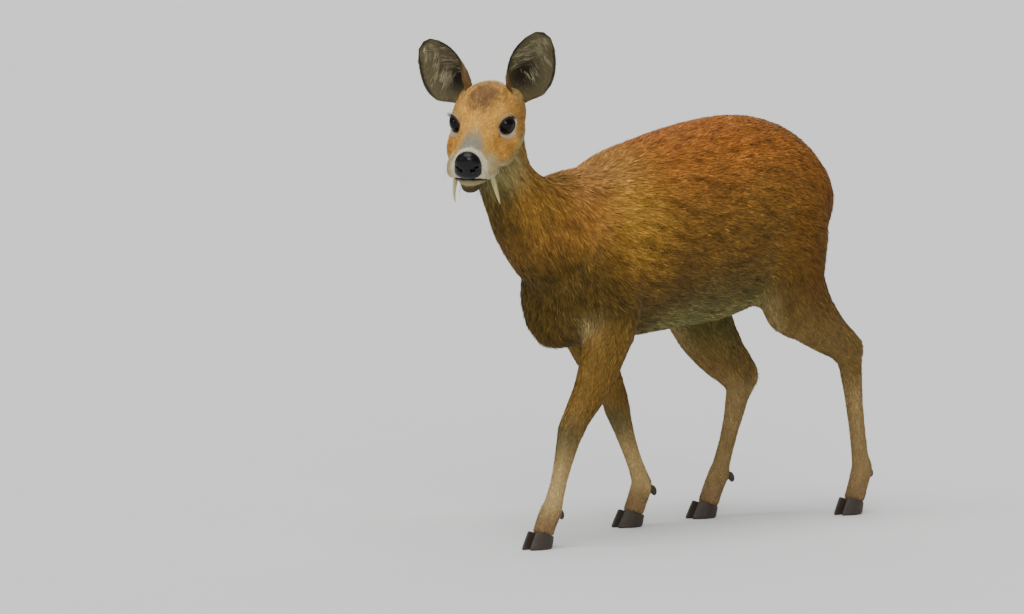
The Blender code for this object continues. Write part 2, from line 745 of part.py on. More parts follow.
def ear(name, side):
    """Leaf-shaped cup, a tube at its root: a rolled sheet given its thickness."""
    frame = ear_frame(side)
    columns = 11
    work = bmesh.new()
    rows = []
    for share, radius, reach in EAR_SECTIONS:
        back = -0.0150 - 0.0050 * math.sin(math.pi * share) + 0.0060 * share ** 3
        row = []
        for i in range(columns):
            across = 2.0 * i / (columns - 1) - 1.0
            angle = math.radians(reach) * across
            drop = 0.0045 * abs(across) ** 1.5 * share * (1.0 - 0.7 * share ** 8)
            row.append(work.verts.new(frame @ Vector((
                back + radius * (1.0 - math.cos(angle)), radius * math.sin(angle),
                EAR_LENGTH * share - drop))))
        rows.append(row)
    for row, following in zip(rows, rows[1:]):
        for i in range(columns - 1):
            work.faces.new((row[i], row[i + 1], following[i + 1], following[i]))
    bmesh.ops.triangulate(work, faces=work.faces[:])
    piece = mesh_object(name, work)
    wall = piece.modifiers.new("wall", "SOLIDIFY")
    wall.thickness = EAR_WALL
    wall.offset = 0.0
    return bake(piece)


def nose_form(grow):
    frame = head_frame()
    sizes = [s + grow for s in NOSE_SIZE]
    pad = ellipsoid("nose", NOSE_CENTRE, sizes, frame, 18, 12)
    turned = frame.inverted()
    for vertex in pad.data.vertices:
        x, y, z = turned @ vertex.co
        below = min(1.0, max(0.0, (NOSE_CENTRE[2] - z) / sizes[2]))
        vertex.co = frame @ Vector((x, y * (1.0 - NOSE_NARROWS * below ** 1.5), z))
    back = frame @ Vector((NOSE_BACK - grow, 0.0, -0.004))
    away = frame.to_3x3() @ Vector((-0.94, 0.0, -0.34))
    return trim(pad, [(back, away)], 0.0)


def nose():
    """Wet pad of the nose, with a comma-shaped nostril on each side."""
    frame = head_frame()
    pad = nose_form(0.0)
    for side in (1, -1):
        for centre, sizes in (
            ((0.1005, 0.0078, -0.0125), (0.0050, 0.0036, 0.0030)),
            ((0.0975, 0.0122, -0.0095), (0.0048, 0.0034, 0.0020)),
        ):
            x, y, z = centre
            hole = ellipsoid("nostril", (x, side * y, z), sizes, frame, 8, 6)
            boolean(pad, hole, "DIFFERENCE")
            discard(hole)
    return pad


def mouth_groove(head):
    """Cuts the line of the mouth along the muzzle from corner to corner."""
    frame = head_frame()
    back = frame.inverted()
    path = [(x, -y, z) for x, y, z in reversed(MOUTH_LINE[1:])] + list(MOUTH_LINE)
    centre = Vector((0.055, 0.0, -0.037))
    points = []
    for place in smooth_stations(path)[::2]:
        start = frame @ (centre + (Vector(place) - centre) * 1.8)
        aim = (frame @ centre - start).normalized()
        hit, where, _, _ = head_ray(head, start, aim)
        if hit:
            points.append(back @ where)
    line = bpy.data.curves.new("mouth_line", "CURVE")
    line.dimensions = "3D"
    line.bevel_depth = MOUTH_GROOVE
    line.bevel_resolution = 1
    line.use_fill_caps = True
    spline = line.splines.new("POLY")
    spline.points.add(len(points) - 1)
    for target, point in zip(spline.points, points):
        target.co = (*(frame @ point), 1.0)
    guide = put("mouth_line", line)
    graph = bpy.context.evaluated_depsgraph_get()
    mesh = bpy.data.meshes.new_from_object(guide.evaluated_get(graph))
    discard(guide)
    work = bmesh.new()
    work.from_mesh(mesh)
    bmesh.ops.remove_doubles(work, verts=work.verts, dist=1e-5)
    cutter = mesh_object("mouth_cutter", work)
    boolean(head, cutter, "DIFFERENCE")
    discard(cutter)


def head_ray(head, start, aim):
    bpy.context.view_layer.update()
    return head.ray_cast(start, aim)


def finish_material(obj, colour):
    """Gives obj a plain material of its own in the named colour."""
    red, green, blue, roughness = COLOURS[colour]
    material = bpy.data.materials.new(obj.name)
    material.use_nodes = True
    shader = material.node_tree.nodes["Principled BSDF"]
    shader.inputs["Base Color"].default_value = (red, green, blue, 1.0)
    shader.inputs["Roughness"].default_value = roughness
    shader.inputs["Metallic"].default_value = 0.0
    obj.data.materials.clear()
    obj.data.materials.append(material)
    obj.data.shade_smooth()
    obj.data.set_sharp_from_angle(angle=math.radians(50))


def stand_centred(objects):
    """Moves everything so that the box round it is centred over the origin, on the floor."""
    points = [v.co for obj in objects for v in obj.data.vertices]
    low = Vector(min(p[i] for p in points) for i in range(3))
    high = Vector(max(p[i] for p in points) for i in range(3))
    move = Matrix.Translation((-(low.x + high.x) / 2, -(low.y + high.y) / 2, -low.z))
    for obj in objects:
        obj.data.transform(move)


def main():
    clear_scene()
    skin = body_skin()
    fine_head = head_skin()
    torso, neck, head, legs = part_nodes(skin, fine_head)
    discard(skin, fine_head)
    nodes = {"torso": (torso, "coat"), "neck": (neck, "neck_coat"), "head": (head, "face_coat")}

    mouth_groove(head)
    for side, word in ((1, "left"), (-1, "right")):
        eyeball = ellipsoid(
            "eye_" + word, (0, 0, 0), (EYE_RADIUS,) * 3, head_frame() @ eye_frame(side), 16, 10)
        carve(head, eyeball)
        nodes[eyeball.name] = (eyeball, "eye")
        tooth = tusk("tusk_" + word, side)
        carve(head, tooth)
        nodes[tooth.name] = (tooth, "tusk")
        flap = ear("ear_" + word, side)
        carve(flap, head)
        nodes[flap.name] = (flap, "ear_coat")
    seat = nose_form(GAP)
    boolean(head, seat, "DIFFERENCE")
    discard(seat)
    nodes["nose"] = (nose(), "nose")

    tail = loft("tail", limb_rings(TAIL, 12)[::2])
    carve(torso, tail)
    nodes["tail"] = (tail, "coat")

    for name, leg in legs.items():
        frame = foot_frame(name)
        point, normal = coronet_plane(frame, GAP / 2)
        trim(leg, [(point, -normal)], 0.0)
        fetlock = LEGS[name][0][-3][:3]
        for side, word in ((1, "a"), (-1, "b")):
            claw = dewclaw(f"dewclaw_{name}_{word}", frame, side, fetlock)
            carve(leg, claw)
            nodes[claw.name] = (claw, "horn")
            shoe = hoof(f"hoof_{name}_{word}", frame, side)
            nodes[shoe.name] = (shoe, "horn")
        nodes[leg.name] = (leg, "leg_coat")

    stand_centred([obj for obj, _ in nodes.values()])
    family = bpy.data.collections.new("chinese_water_deer")
    bpy.context.scene.collection.children.link(family)
    root = bpy.data.objects.new("deer", None)
    family.objects.link(root)
    for name, (obj, colour) in nodes.items():
        obj.name = name
        finish_material(obj, colour)
        bpy.context.scene.collection.objects.unlink(obj)
        family.objects.link(obj)
        obj.parent = root


main()
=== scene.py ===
import math

import bmesh
import bpy
import numpy as np
from mathutils import Matrix, Vector
from mathutils.bvhtree import BVHTree


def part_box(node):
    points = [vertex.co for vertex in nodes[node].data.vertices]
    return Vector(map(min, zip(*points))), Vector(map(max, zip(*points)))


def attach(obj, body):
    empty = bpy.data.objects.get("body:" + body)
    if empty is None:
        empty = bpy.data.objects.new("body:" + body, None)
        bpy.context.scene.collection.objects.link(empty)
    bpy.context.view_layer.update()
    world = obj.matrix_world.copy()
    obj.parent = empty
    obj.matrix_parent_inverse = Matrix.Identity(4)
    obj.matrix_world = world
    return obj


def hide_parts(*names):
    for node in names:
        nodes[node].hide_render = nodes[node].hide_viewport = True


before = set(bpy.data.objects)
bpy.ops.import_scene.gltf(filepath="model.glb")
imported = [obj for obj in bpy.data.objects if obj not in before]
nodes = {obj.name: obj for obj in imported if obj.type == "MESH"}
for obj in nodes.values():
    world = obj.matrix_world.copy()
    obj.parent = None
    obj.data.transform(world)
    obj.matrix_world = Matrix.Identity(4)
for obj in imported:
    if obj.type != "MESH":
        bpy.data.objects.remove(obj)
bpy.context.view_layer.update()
print("frame loaded:", len(nodes), "nodes")

# Places and directions: x is the deer's left, -y is ahead, z is up


def spot(ahead, left, up):
    return Vector((left, -ahead, up))


headPose = {
    "yaw": math.radians(29.5),
    "pitch": math.radians(26.5),
    "roll": math.radians(1.5),
    "eyesAhead": 0.0055,
    "eyesUp": 0.0022,
    "betweenEyes": spot(0.4172, 0.0393, 0.5426),  # measured from the body's own origin
}


def middle(node):
    low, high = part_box(node)
    return (low + high) / 2


def headAxes():
    cy, sy = math.cos(headPose["yaw"]), math.sin(headPose["yaw"])
    cp, sp = math.cos(headPose["pitch"]), math.sin(headPose["pitch"])
    columns = (spot(cy * cp, sy * cp, -sp), spot(-sy, cy, 0.0), spot(cy * sp, sy * sp, cp))
    turned = Matrix(columns).transposed().to_4x4()
    return turned @ Matrix.Rotation(-headPose["roll"], 4, "X")


headFrame = headAxes()
eyesMiddle = (middle("eye_left") + middle("eye_right")) / 2
headFrame.translation = eyesMiddle - headFrame.to_3x3() @ Vector(
    (headPose["eyesAhead"], 0.0, headPose["eyesUp"]))
bodyOrigin = headFrame.translation - headPose["betweenEyes"]
bodyShift = np.array(bodyOrigin)
headTurn = np.array(headFrame.to_3x3())
sides = ((1, "left"), (-1, "right"))


def moved(points, matrix):
    matrix = np.array(matrix)
    return points @ matrix[:3, :3].T + matrix[:3, 3]


def inHead(points):
    return moved(points, headFrame.inverted())


def inBody(points):
    left, behind, up = (points - bodyShift).T
    return -behind, left, up


# Camera, light and floor

view = {"azimuth": 42.0, "elevation": 6.0, "distance": 9.0, "lens": 242.4,
        "right": -0.223, "up": 0.286}


def placeCamera():
    turn, lift = math.radians(view["azimuth"]), math.radians(view["elevation"])
    toward = Vector((math.sin(turn) * math.cos(lift), -math.cos(turn) * math.cos(lift), math.sin(lift)))
    right = Vector((math.cos(turn), math.sin(turn), 0.0))
    above = toward.cross(right)
    data = bpy.data.cameras.new("camera")
    data.lens, data.sensor_width = view["lens"], 36.0
    data.clip_start, data.clip_end = 0.1, 200.0
    camera = bpy.data.objects.new("camera", data)
    bpy.context.scene.collection.objects.link(camera)
    camera.location = bodyOrigin + toward * view["distance"]
    aim = bodyOrigin + right * view["right"] + above * view["up"]
    camera.rotation_mode = "QUATERNION"
    camera.rotation_quaternion = (aim - camera.location).to_track_quat("-Z", "Y")
    bpy.context.scene.camera = camera


placeCamera()

lamps = {  # direction the light comes from, how wide it is seen, and its strength
    "overhead": {"source": (0.15, -0.35, 1.0), "spread": math.radians(54), "power": 2.40},
    "front": {"source": (1.0, -0.9, 0.60), "spread": math.radians(26), "power": 0.95},
    "behind": {"source": (-0.7, 1.0, 0.9), "spread": math.radians(60), "power": 0.90},
    "glint": {"source": (-0.37, -0.93, 0.36), "spread": math.radians(14), "power": 0.35},
}


def hangLamp(name, source, spread, power):
    light = bpy.data.lights.new(name, "SUN")
    light.angle, light.energy = spread, power
    lamp = bpy.data.objects.new(name, light)
    bpy.context.scene.collection.objects.link(lamp)
    lamp.location = Vector(source) * 3
    lamp.rotation_mode = "QUATERNION"
    lamp.rotation_quaternion = (-Vector(source)).to_track_quat("-Z", "Y")


for lampName, lampFacts in lamps.items():
    hangLamp(lampName, **lampFacts)
sky = bpy.data.worlds.new("sky")
bpy.context.scene.world = sky
sky.use_nodes = True
sky.node_tree.nodes["Background"].inputs["Color"].default_value = (0.86, 0.88, 0.90, 1.0)
sky.node_tree.nodes["Background"].inputs["Strength"].default_value = 0.27


# Colour and small number tools


def linear(colour):
    share = np.array(colour, float) / 255.0
    return np.where(share <= 0.04045, share / 12.92, ((share + 0.055) / 1.055) ** 2.4)


def step(values, start, end):
    share = np.clip((values - start) / (end - start), 0.0, 1.0)
    return share * share * (3.0 - 2.0 * share)


def hump(values, centre, spread):
    return np.exp(-((values - centre) / spread) ** 2)


def unit(vectors):
    return vectors / np.maximum(np.linalg.norm(vectors, axis=-1, keepdims=True), 1e-12)


def drift(points, size, seed):
    # smooth random field between -1 and 1
    scaled = points / size + 57.0
    cell = np.floor(scaled).astype(np.int64)
    part = scaled - cell
    part = part * part * (3.0 - 2.0 * part)
    total = np.zeros(len(points))
    for corner in range(8):
        offset = np.array([corner & 1, corner >> 1 & 1, corner >> 2 & 1])
        place = cell + offset
        mixed = (place[:, 0] * 73856093) ^ (place[:, 1] * 19349663) ^ (place[:, 2] * 83492791)
        mixed = (mixed ^ (seed * 2654435761)) & 0xFFFFFFFF
        mixed = ((mixed ^ (mixed >> 15)) * 2246822519) & 0xFFFFFFFF
        mixed = (mixed ^ (mixed >> 13)) & 0xFFFF
        weight = np.prod(np.where(offset == 1, part, 1.0 - part), axis=1)
        total += weight * (mixed / 32767.5 - 1.0)
    return total


def layAll(shade, colours, *marks):
    # (name, mask) pairs laid one over the other; a mask may be 1 everywhere
    for name, mask in marks:
        share = np.clip(mask * np.ones(len(shade)), 0.0, 1.0)[:, None]
        shade = shade + (linear(colours[name]) - shade) * share
    return shade


# Shader tools


class Wire:
    # one socket with the sums that the finishes use
    def __init__(self, paint, socket):
        self.paint, self.socket = paint, socket

    def sums(self, operation, first, second):
        return self.paint.add("ShaderNodeMath", {"operation": operation}, {0: first, 1: second})

    def __add__(self, other):
        return self.sums("ADD", self, other)

    def __sub__(self, other):
        return self.sums("SUBTRACT", self, other)

    def __rsub__(self, other):
        return self.sums("SUBTRACT", other, self)

    def __mul__(self, other):
        return self.sums("MULTIPLY", self, other)

    def __pow__(self, other):
        return self.sums("POWER", self, other)

    __radd__ = __add__
    __rmul__ = __mul__


class Paint:
    # one material and its nodes
    def __init__(self, name, **fixed):
        self.material = bpy.data.materials.new(name)
        self.material.use_nodes = True
        self.tree = self.material.node_tree
        self.shader = self.tree.nodes["Principled BSDF"]
        for socket, value in fixed.items():
            self.shader.inputs[socket.replace("_", " ")].default_value = value

    def add(self, kind, settings=None, values=None, out=0):
        node = self.tree.nodes.new(kind)
        for key, value in (settings or {}).items():
            setattr(node, key, value)
        for key, value in (values or {}).items():
            if isinstance(value, Wire):
                self.tree.links.new(value.socket, node.inputs[key])
            else:
                node.inputs[key].default_value = value
        return Wire(self, node.outputs[out])

    def feed(self, socket, wire):
        self.tree.links.new(wire.socket, self.shader.inputs[socket])

    def place(self):
        return self.add("ShaderNodeTexCoord", out="Object")

    def read(self, name, out="Color"):
        return self.add("ShaderNodeAttribute", {"attribute_name": name}, out=out)

    def noise(self, where, scale, detail=3.0, rough=0.55):
        return self.add("ShaderNodeTexNoise", {}, {
            "Vector": where, "Scale": scale, "Detail": detail, "Roughness": rough})

    def tint(self, factor, first, second, blend="MIX"):
        return self.add("ShaderNodeMix", {"data_type": "RGBA", "blend_type": blend},
                        {0: factor, 6: first, 7: second}, out=2)

    def bump(self, height, distance, strength=1.0):
        return self.add("ShaderNodeBump", {}, {"Strength": strength, "Distance": distance, "Height": height})

    def smoothShare(self, value, start, end):
        return self.add("ShaderNodeMapRange", {"interpolation_type": "SMOOTHSTEP"},
                        {"Value": value, "From Min": start, "From Max": end})

    def surface(self, colour, rough, roughSpan, height, distance, strength=1.0):
        self.feed("Base Color", colour)
        self.feed("Roughness", self.span(rough, *roughSpan))
        if height:
            self.feed("Normal", self.bump(height, distance, strength))
        return self.material

    def span(self, value, low, high):
        # a 0 to 1 value spread between two numbers
        return value * (high - low) + low


def rgba(colour):
    return tuple(linear(colour)) + (1.0,)


def furFinish(name, grain, rough, bumpy):
    paint = Paint(name, Specular_IOR_Level=0.16, Sheen_Weight=0.02, Sheen_Roughness=0.4)
    where = paint.place()
    mottle = paint.noise(where, grain, 4.0, 0.6)
    dim = paint.tint(paint.span(mottle, 0.0, 0.55), (1.0, 1.0, 1.0, 1.0), (0.62, 0.58, 0.55, 1.0))
    colour = paint.tint(1.0, paint.read("coatColour"), dim, "MULTIPLY")
    rougher = paint.noise(where, grain * 2.2, 2.0)
    strands = paint.noise(where, 900.0, 3.0, 0.65) if bumpy > 0 else None
    return paint.surface(colour, rougher, (rough - 0.10, rough + 0.12), strands, bumpy)


# Mesh tools


def put(name, mesh, body="root"):
    piece = bpy.data.objects.new(name, mesh)
    bpy.context.scene.collection.objects.link(piece)
    if body:
        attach(piece, body)
    return piece


def merged(node):
    # bmesh of a CAD node with its loose triangles joined
    work = bmesh.new()
    work.from_mesh(nodes[node].data)
    bmesh.ops.remove_doubles(work, verts=work.verts, dist=0.00001)
    work.normal_update()
    return work


def swell(work, amount):
    work.normal_update()
    moves = [vert.normal * amount for vert in work.verts]
    for vert, move in zip(work.verts, moves):
        vert.co += move


def meshOf(name, work):
    mesh = bpy.data.meshes.new(name)
    work.to_mesh(mesh)
    work.free()
    return mesh


def remeshed(name, work, voxel):
    holder = put(name, meshOf(name, work), None)
    change = holder.modifiers.new("change", "REMESH")
    change.mode, change.voxel_size = "VOXEL", voxel
    graph = bpy.context.evaluated_depsgraph_get()
    fresh = bmesh.new()
    fresh.from_mesh(holder.evaluated_get(graph).to_mesh())
    bpy.data.objects.remove(holder)
    return largestOf(fresh)


def largestOf(work):
    # drops every loose scrap
    seen, groups = set(), []
    for vert in work.verts:
        if vert in seen:
            continue
        seen.add(vert)
        group = [vert]
        for here in group:  # the group grows while it is walked
            others = [edge.other_vert(here) for edge in here.link_edges]
            fresh = [other for other in others if other not in seen]
            seen.update(fresh)
            group += fresh
        groups.append(group)
    groups.sort(key=len)
    bmesh.ops.delete(work, geom=[vert for group in groups[:-1] for vert in group], context="VERTS")
    return work


def soften(work, rounds, factor=0.5, verts=None):
    for again in range(rounds):
        bmesh.ops.smooth_vert(work, verts=verts or work.verts, factor=factor,
                              use_axis_x=True, use_axis_y=True, use_axis_z=True)


def finished(name, work, material, replaced=()):
    mesh = meshOf(name, work)
    mesh.shade_smooth()
    mesh.materials.append(material)
    piece = put(name, mesh)
    if replaced:
        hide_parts(*replaced)
    return piece


def shapedGrid(across, along, place):
    # a grid wrapped into a form: place(u, v) with both from 0 to 1
    work = bmesh.new()
    bmesh.ops.create_grid(work, x_segments=across, y_segments=along, size=0.5)
    for vert in work.verts:
        vert.co = place(vert.co.x + 0.5, vert.co.y + 0.5)
    bmesh.ops.remove_doubles(work, verts=work.verts, dist=0.000002)
    holes = [edge for edge in work.edges if edge.is_boundary]
    if holes:
        bmesh.ops.holes_fill(work, edges=holes, sides=0)
    bmesh.ops.recalc_face_normals(work, faces=work.faces)
    return work


def pathThrough(points, share):
    # smooth curve through the points, share from 0 to 1
    last = len(points) - 1
    place = min(max(share, 0.0), 1.0) * last
    i = min(int(place), last - 1)
    t = place - i
    a, b = Vector(points[i]), Vector(points[i + 1])
    before = Vector(points[i - 1]) if i > 0 else a * 2 - b
    after = Vector(points[i + 2]) if i + 2 <= last else b * 2 - a
    return 0.5 * (a * 2 + (b - before) * t + (before * 2 - a * 5 + b * 4 - after) * t ** 2
                  + (a * 3 - before - b * 3 + after) * t ** 3)


# Eyes: their frames come first, as the skin is shaped round them

eyeSizes = {
    "radius": 0.0134, "turn": math.radians(46.0), "openWide": 0.0102, "openHigh": 0.0094,
    "lidReach": 0.030, "sunk": 0.0022, "lidOver": 0.0011, "cornea": 0.055,
}


def eyeFrame(side):
    turn = eyeSizes["turn"]
    look = Vector((math.cos(turn), side * math.sin(turn), 0.10)).normalized()
    tear = Vector((math.sin(turn), -side * math.cos(turn), -0.24))
    tear = (tear - look * tear.dot(look)).normalized()
    above = tear.cross(look) * side
    made = (headFrame.to_3x3() @ Matrix((tear, above, look)).transposed()).to_4x4()
    made.translation = middle("eye_left" if side > 0 else "eye_right")
    return made


eyeFrames = {side: eyeFrame(side) for side, word in sides}


def inEye(points, side):
    return moved(points, eyeFrames[side].inverted())


def inOpening(x, y):
    # 1 at the edge of the lids, and how far up
    high = y / eyeSizes["openHigh"]
    return np.sqrt((x / eyeSizes["openWide"]) ** 2 + high ** 2), high


# Skin: one surface for all the flesh

legNames = ["leg_fore_left", "leg_fore_right", "leg_hind_left", "leg_hind_right"]
fleshNodes = ["torso", "neck", "head", "tail"] + legNames
hardNodes = ["eye_left", "eye_right", "nose"] + [n for n in nodes if n.startswith("dewclaw")]
partLabels = {name: label for label, name in enumerate(fleshNodes + hardNodes)}
skinSizes = {
    "voxel": 0.0038, "seal": 0.0004, "touching": 0.0009, "tuskTouching": 0.0012, "tuskPlug": -0.0375,
    "headFrom": -0.082, "headHalf": 0.07, "throat": -0.070, "headReach": 0.006,
    "faceFrom": 0.044, "faceHalf": 0.05, "aroundEye": 0.0245, "faceReach": 0.004,
    "hardDepth": 0.0026, "joinRings": 7, "joinRounds": 18,
}
mouthSizes = {
    "line": [(0.097, 0.0, -0.0265), (0.091, 0.014, -0.0287), (0.080, 0.023, -0.0335),
             (0.064, 0.028, -0.0370), (0.050, 0.028, -0.0373), (0.040, 0.028, -0.0360)],
    "steps": 60, "muzzleFrom": 0.02, "through": 0.0060, "cut": 0.0026, "cutWide": 0.0015,
    "lip": 0.0007, "lipAt": 0.0034, "lipWide": 0.0020, "lowerLip": 0.7,
}


def onPart(name, labels, values, others):
    # rows of values on one part, rows of others elsewhere
    return np.where((labels == partLabels[name])[:, None], values, others)


def tuskPlug(node):
    # the root of the tusk, which closes its socket in the lip
    work = merged(node)
    below = headFrame @ Vector((0.0, 0.0, skinSizes["tuskPlug"]))
    down = -(headFrame.to_3x3() @ Vector((0.0, 0.0, 1.0)))
    cut = bmesh.ops.bisect_plane(work, geom=work.verts[:] + work.edges[:] + work.faces[:], dist=0.00001,
                                 plane_co=below, plane_no=down, clear_outer=True)
    edges = [item for item in cut["geom_cut"] if isinstance(item, bmesh.types.BMEdge)]
    bmesh.ops.holes_fill(work, edges=edges, sides=0)
    return work


def addTo(whole, work):
    whole.from_mesh(meshOf("scratch", work))


def joinedFlesh():
    whole, corners, faces, labels = bmesh.new(), [], [], []
    for name, label in partLabels.items():
        work = merged(name)
        swell(work, skinSizes["seal"])
        base = len(corners)
        corners += [vert.co.copy() for vert in work.verts]
        work.verts.index_update()
        for face in work.faces:
            faces.append([base + vert.index for vert in face.verts])
            labels.append(label)
        addTo(whole, work)
    for side, word in sides:
        plug = tuskPlug("tusk_" + word)
        swell(plug, skinSizes["seal"] * 2)
        addTo(whole, plug)
    return whole, corners, faces, labels


def exposed(corners, faces, labels):
    # leaves out the faces that lie against another node
    trees = {label: BVHTree.FromPolygons(corners, [f for f, l in zip(faces, labels) if l == label])
             for label in set(labels)}
    tusks = [BVHTree.FromBMesh(merged("tusk_" + word)) for side, word in sides]
    kept, keptLabels = [], []
    for face, label in zip(faces, labels):
        centre = (corners[face[0]] + corners[face[1]] + corners[face[2]]) / 3
        limits = [(tree, skinSizes["touching"]) for other, tree in trees.items() if other != label]
        if label == partLabels["head"]:
            limits += [(tree, skinSizes["tuskTouching"]) for tree in tusks]
        if all(tree.find_nearest(centre, limit)[0] is None for tree, limit in limits):
            kept.append(face)
            keptLabels.append(label)
    return kept, keptLabels


def pointsOf(verts):
    return np.array([vert.co for vert in verts])


def edgePairs(work):
    work.verts.index_update()
    return np.array([[vert.index for vert in edge.verts] for edge in work.edges])


def onHead(points):
    ahead, side, up = inHead(points).T
    onIt = (ahead > skinSizes["headFrom"]) & (np.abs(side) < skinSizes["headHalf"])
    return onIt & (up > skinSizes["throat"])


def onFace(points):
    # muzzle, lips and the skin round the eyes
    ahead, side, up = inHead(points).T
    onIt = (ahead > skinSizes["faceFrom"]) & (np.abs(side) < skinSizes["faceHalf"])
    for eye in eyeFrames:
        onIt |= np.linalg.norm(inEye(points, eye), axis=1) < skinSizes["aroundEye"]
    return onIt & (up > skinSizes["throat"])


def skinBase():
    whole, corners, faces, labels = joinedFlesh()
    work = remeshed("skin", whole, skinSizes["voxel"])
    soften(work, 2)
    kept, keptLabels = exposed(corners, faces, labels)
    outer = BVHTree.FromPolygons(corners, kept)

    # twice finer where the detail is, then drawn back to the solids
    for finer, reach, rounds in ((onHead, "headReach", 1), (onFace, "faceReach", 3)):
        flags = finer(pointsOf(work.verts))
        work.verts.index_update()
        edges = [edge for edge in work.edges if all(flags[vert.index] for vert in edge.verts)]
        bmesh.ops.subdivide_edges(work, edges=edges, cuts=1, use_grid_fill=True)
        for vert in work.verts:
            place, gap = outer.find_nearest(vert.co)[::3]
            if gap < skinSizes[reach]:
                vert.co = place
        soften(work, rounds)

    # the joins between the parts are blended, except round the head
    found = np.array([keptLabels[outer.find_nearest(vert.co)[2]] for vert in work.verts])
    pairs = edgePairs(work)
    blends = (found < len(fleshNodes)) & (found != partLabels["head"])
    joins = (found[pairs[:, 0]] != found[pairs[:, 1]]) & blends[pairs].all(1)
    near = np.zeros(len(found), bool)
    near[pairs[joins].ravel()] = True
    for ring in range(skinSizes["joinRings"]):
        near[pairs[near[pairs].any(1)].ravel()] = True
    blended = [vert for vert, flag in zip(work.verts, near) if flag]
    soften(work, skinSizes["joinRounds"], verts=blended)
    return work, found


skinWork, skinLabels = skinBase()
print("skin base:", len(skinWork.faces), "faces")

# Fields over the skin: what part a point belongs to, coat depth, lie, length and colour


def relaxed(values, pairs, rounds):
    # each round moves every value halfway to the mean of its neighbours
    values = np.array(values, float)
    flat = values.reshape(len(values), -1)
    count = np.maximum(np.bincount(pairs.ravel(), minlength=len(flat)), 1)[:, None]
    for again in range(rounds):
        total = np.stack([
            np.bincount(pairs[:, 0], flat[pairs[:, 1], k], len(flat))
            + np.bincount(pairs[:, 1], flat[pairs[:, 0], k], len(flat))
            for k in range(flat.shape[1])], axis=1)
        flat = flat * 0.5 + 0.5 * total / count
    return flat.reshape(values.shape)


def legLine(node):
    # middle of the leg at each height, from its solid
    points = pointsOf(nodes[node].data.vertices)
    heights = np.arange(points[:, 2].min() + 0.004, points[:, 2].max() - 0.004, 0.012)
    centres = []
    for height in heights:
        band = points[np.abs(points[:, 2] - height) < 0.010]
        centres.append((band.min(0) + band.max(0)) / 2 if len(band) else [np.nan] * 3)
    return heights, np.array(centres)


legLines = {name: legLine(name) for name in legNames}


def legLie(points, name):
    # down along the leg and a little back
    heights, centres = legLines[name]
    middles = centres[:, :2]
    for again in range(4):
        inner = (middles[:-2] + 2 * middles[1:-1] + middles[2:]) / 4
        middles = np.vstack([middles[:1], inner, middles[-1:]])
    slope = np.gradient(middles, heights, axis=0)
    dx, dy = (np.interp(points[:, 2], heights, slope[:, k]) for k in (0, 1))
    return unit(np.stack([-dx, -dy + 0.10, -np.ones(len(points))], axis=1))


# Sizes by part; along the face, away from an eye and up a leg they follow tables
coatDepths = {
    "torso": 0.0025, "neck": 0.0023, "tail": 0.0050, "throat": 0.0,
    "face": ([-0.075, -0.03, 0.02, 0.07, 0.095], [0.0022, 0.0011, 0.0008, 0.0008, 0.0005]),
    "eye": ([0.012, 0.024], [0.0002, 0.0012]),
    "leg": ([0.05, 0.14, 0.24, 0.36], [0.0010, 0.0011, 0.0018, 0.0024]),
}
coatLengths = {
    "torso": 0.0120, "neck": 0.0115, "tail": 0.0220, "throat": 0.0030,
    "face": ([-0.08, -0.05, -0.01, 0.05, 0.09], [0.0105, 0.0085, 0.0062, 0.0044, 0.0028]),
    "eye": ([0.013, 0.020, 0.030], [0.0022, 0.0040, 0.0075]),
    "leg": ([0.03, 0.10, 0.20, 0.34], [0.0052, 0.0056, 0.0080, 0.0115]),
}


def sizeAt(points, labels, sizes):
    ahead, side, up = inHead(points).T
    found = np.full(len(points), sizes["torso"])
    for name in ("neck", "tail"):
        found[labels == partLabels[name]] = sizes[name]
    face = np.interp(ahead, *sizes["face"])
    face += sizes["throat"] * step(-up, 0.030, 0.055) * step(-ahead, -0.06, 0.0)
    for eye in eyeFrames:
        away = np.linalg.norm(inEye(points, eye)[:, :2], axis=1)
        face = np.minimum(face, np.interp(away, *sizes["eye"]))
    found = np.where(labels == partLabels["head"], face, found)
    onLeg = np.isin(labels, [partLabels[name] for name in legNames])
    return np.where(onLeg, np.interp(inBody(points)[2], *sizes["leg"]), found)


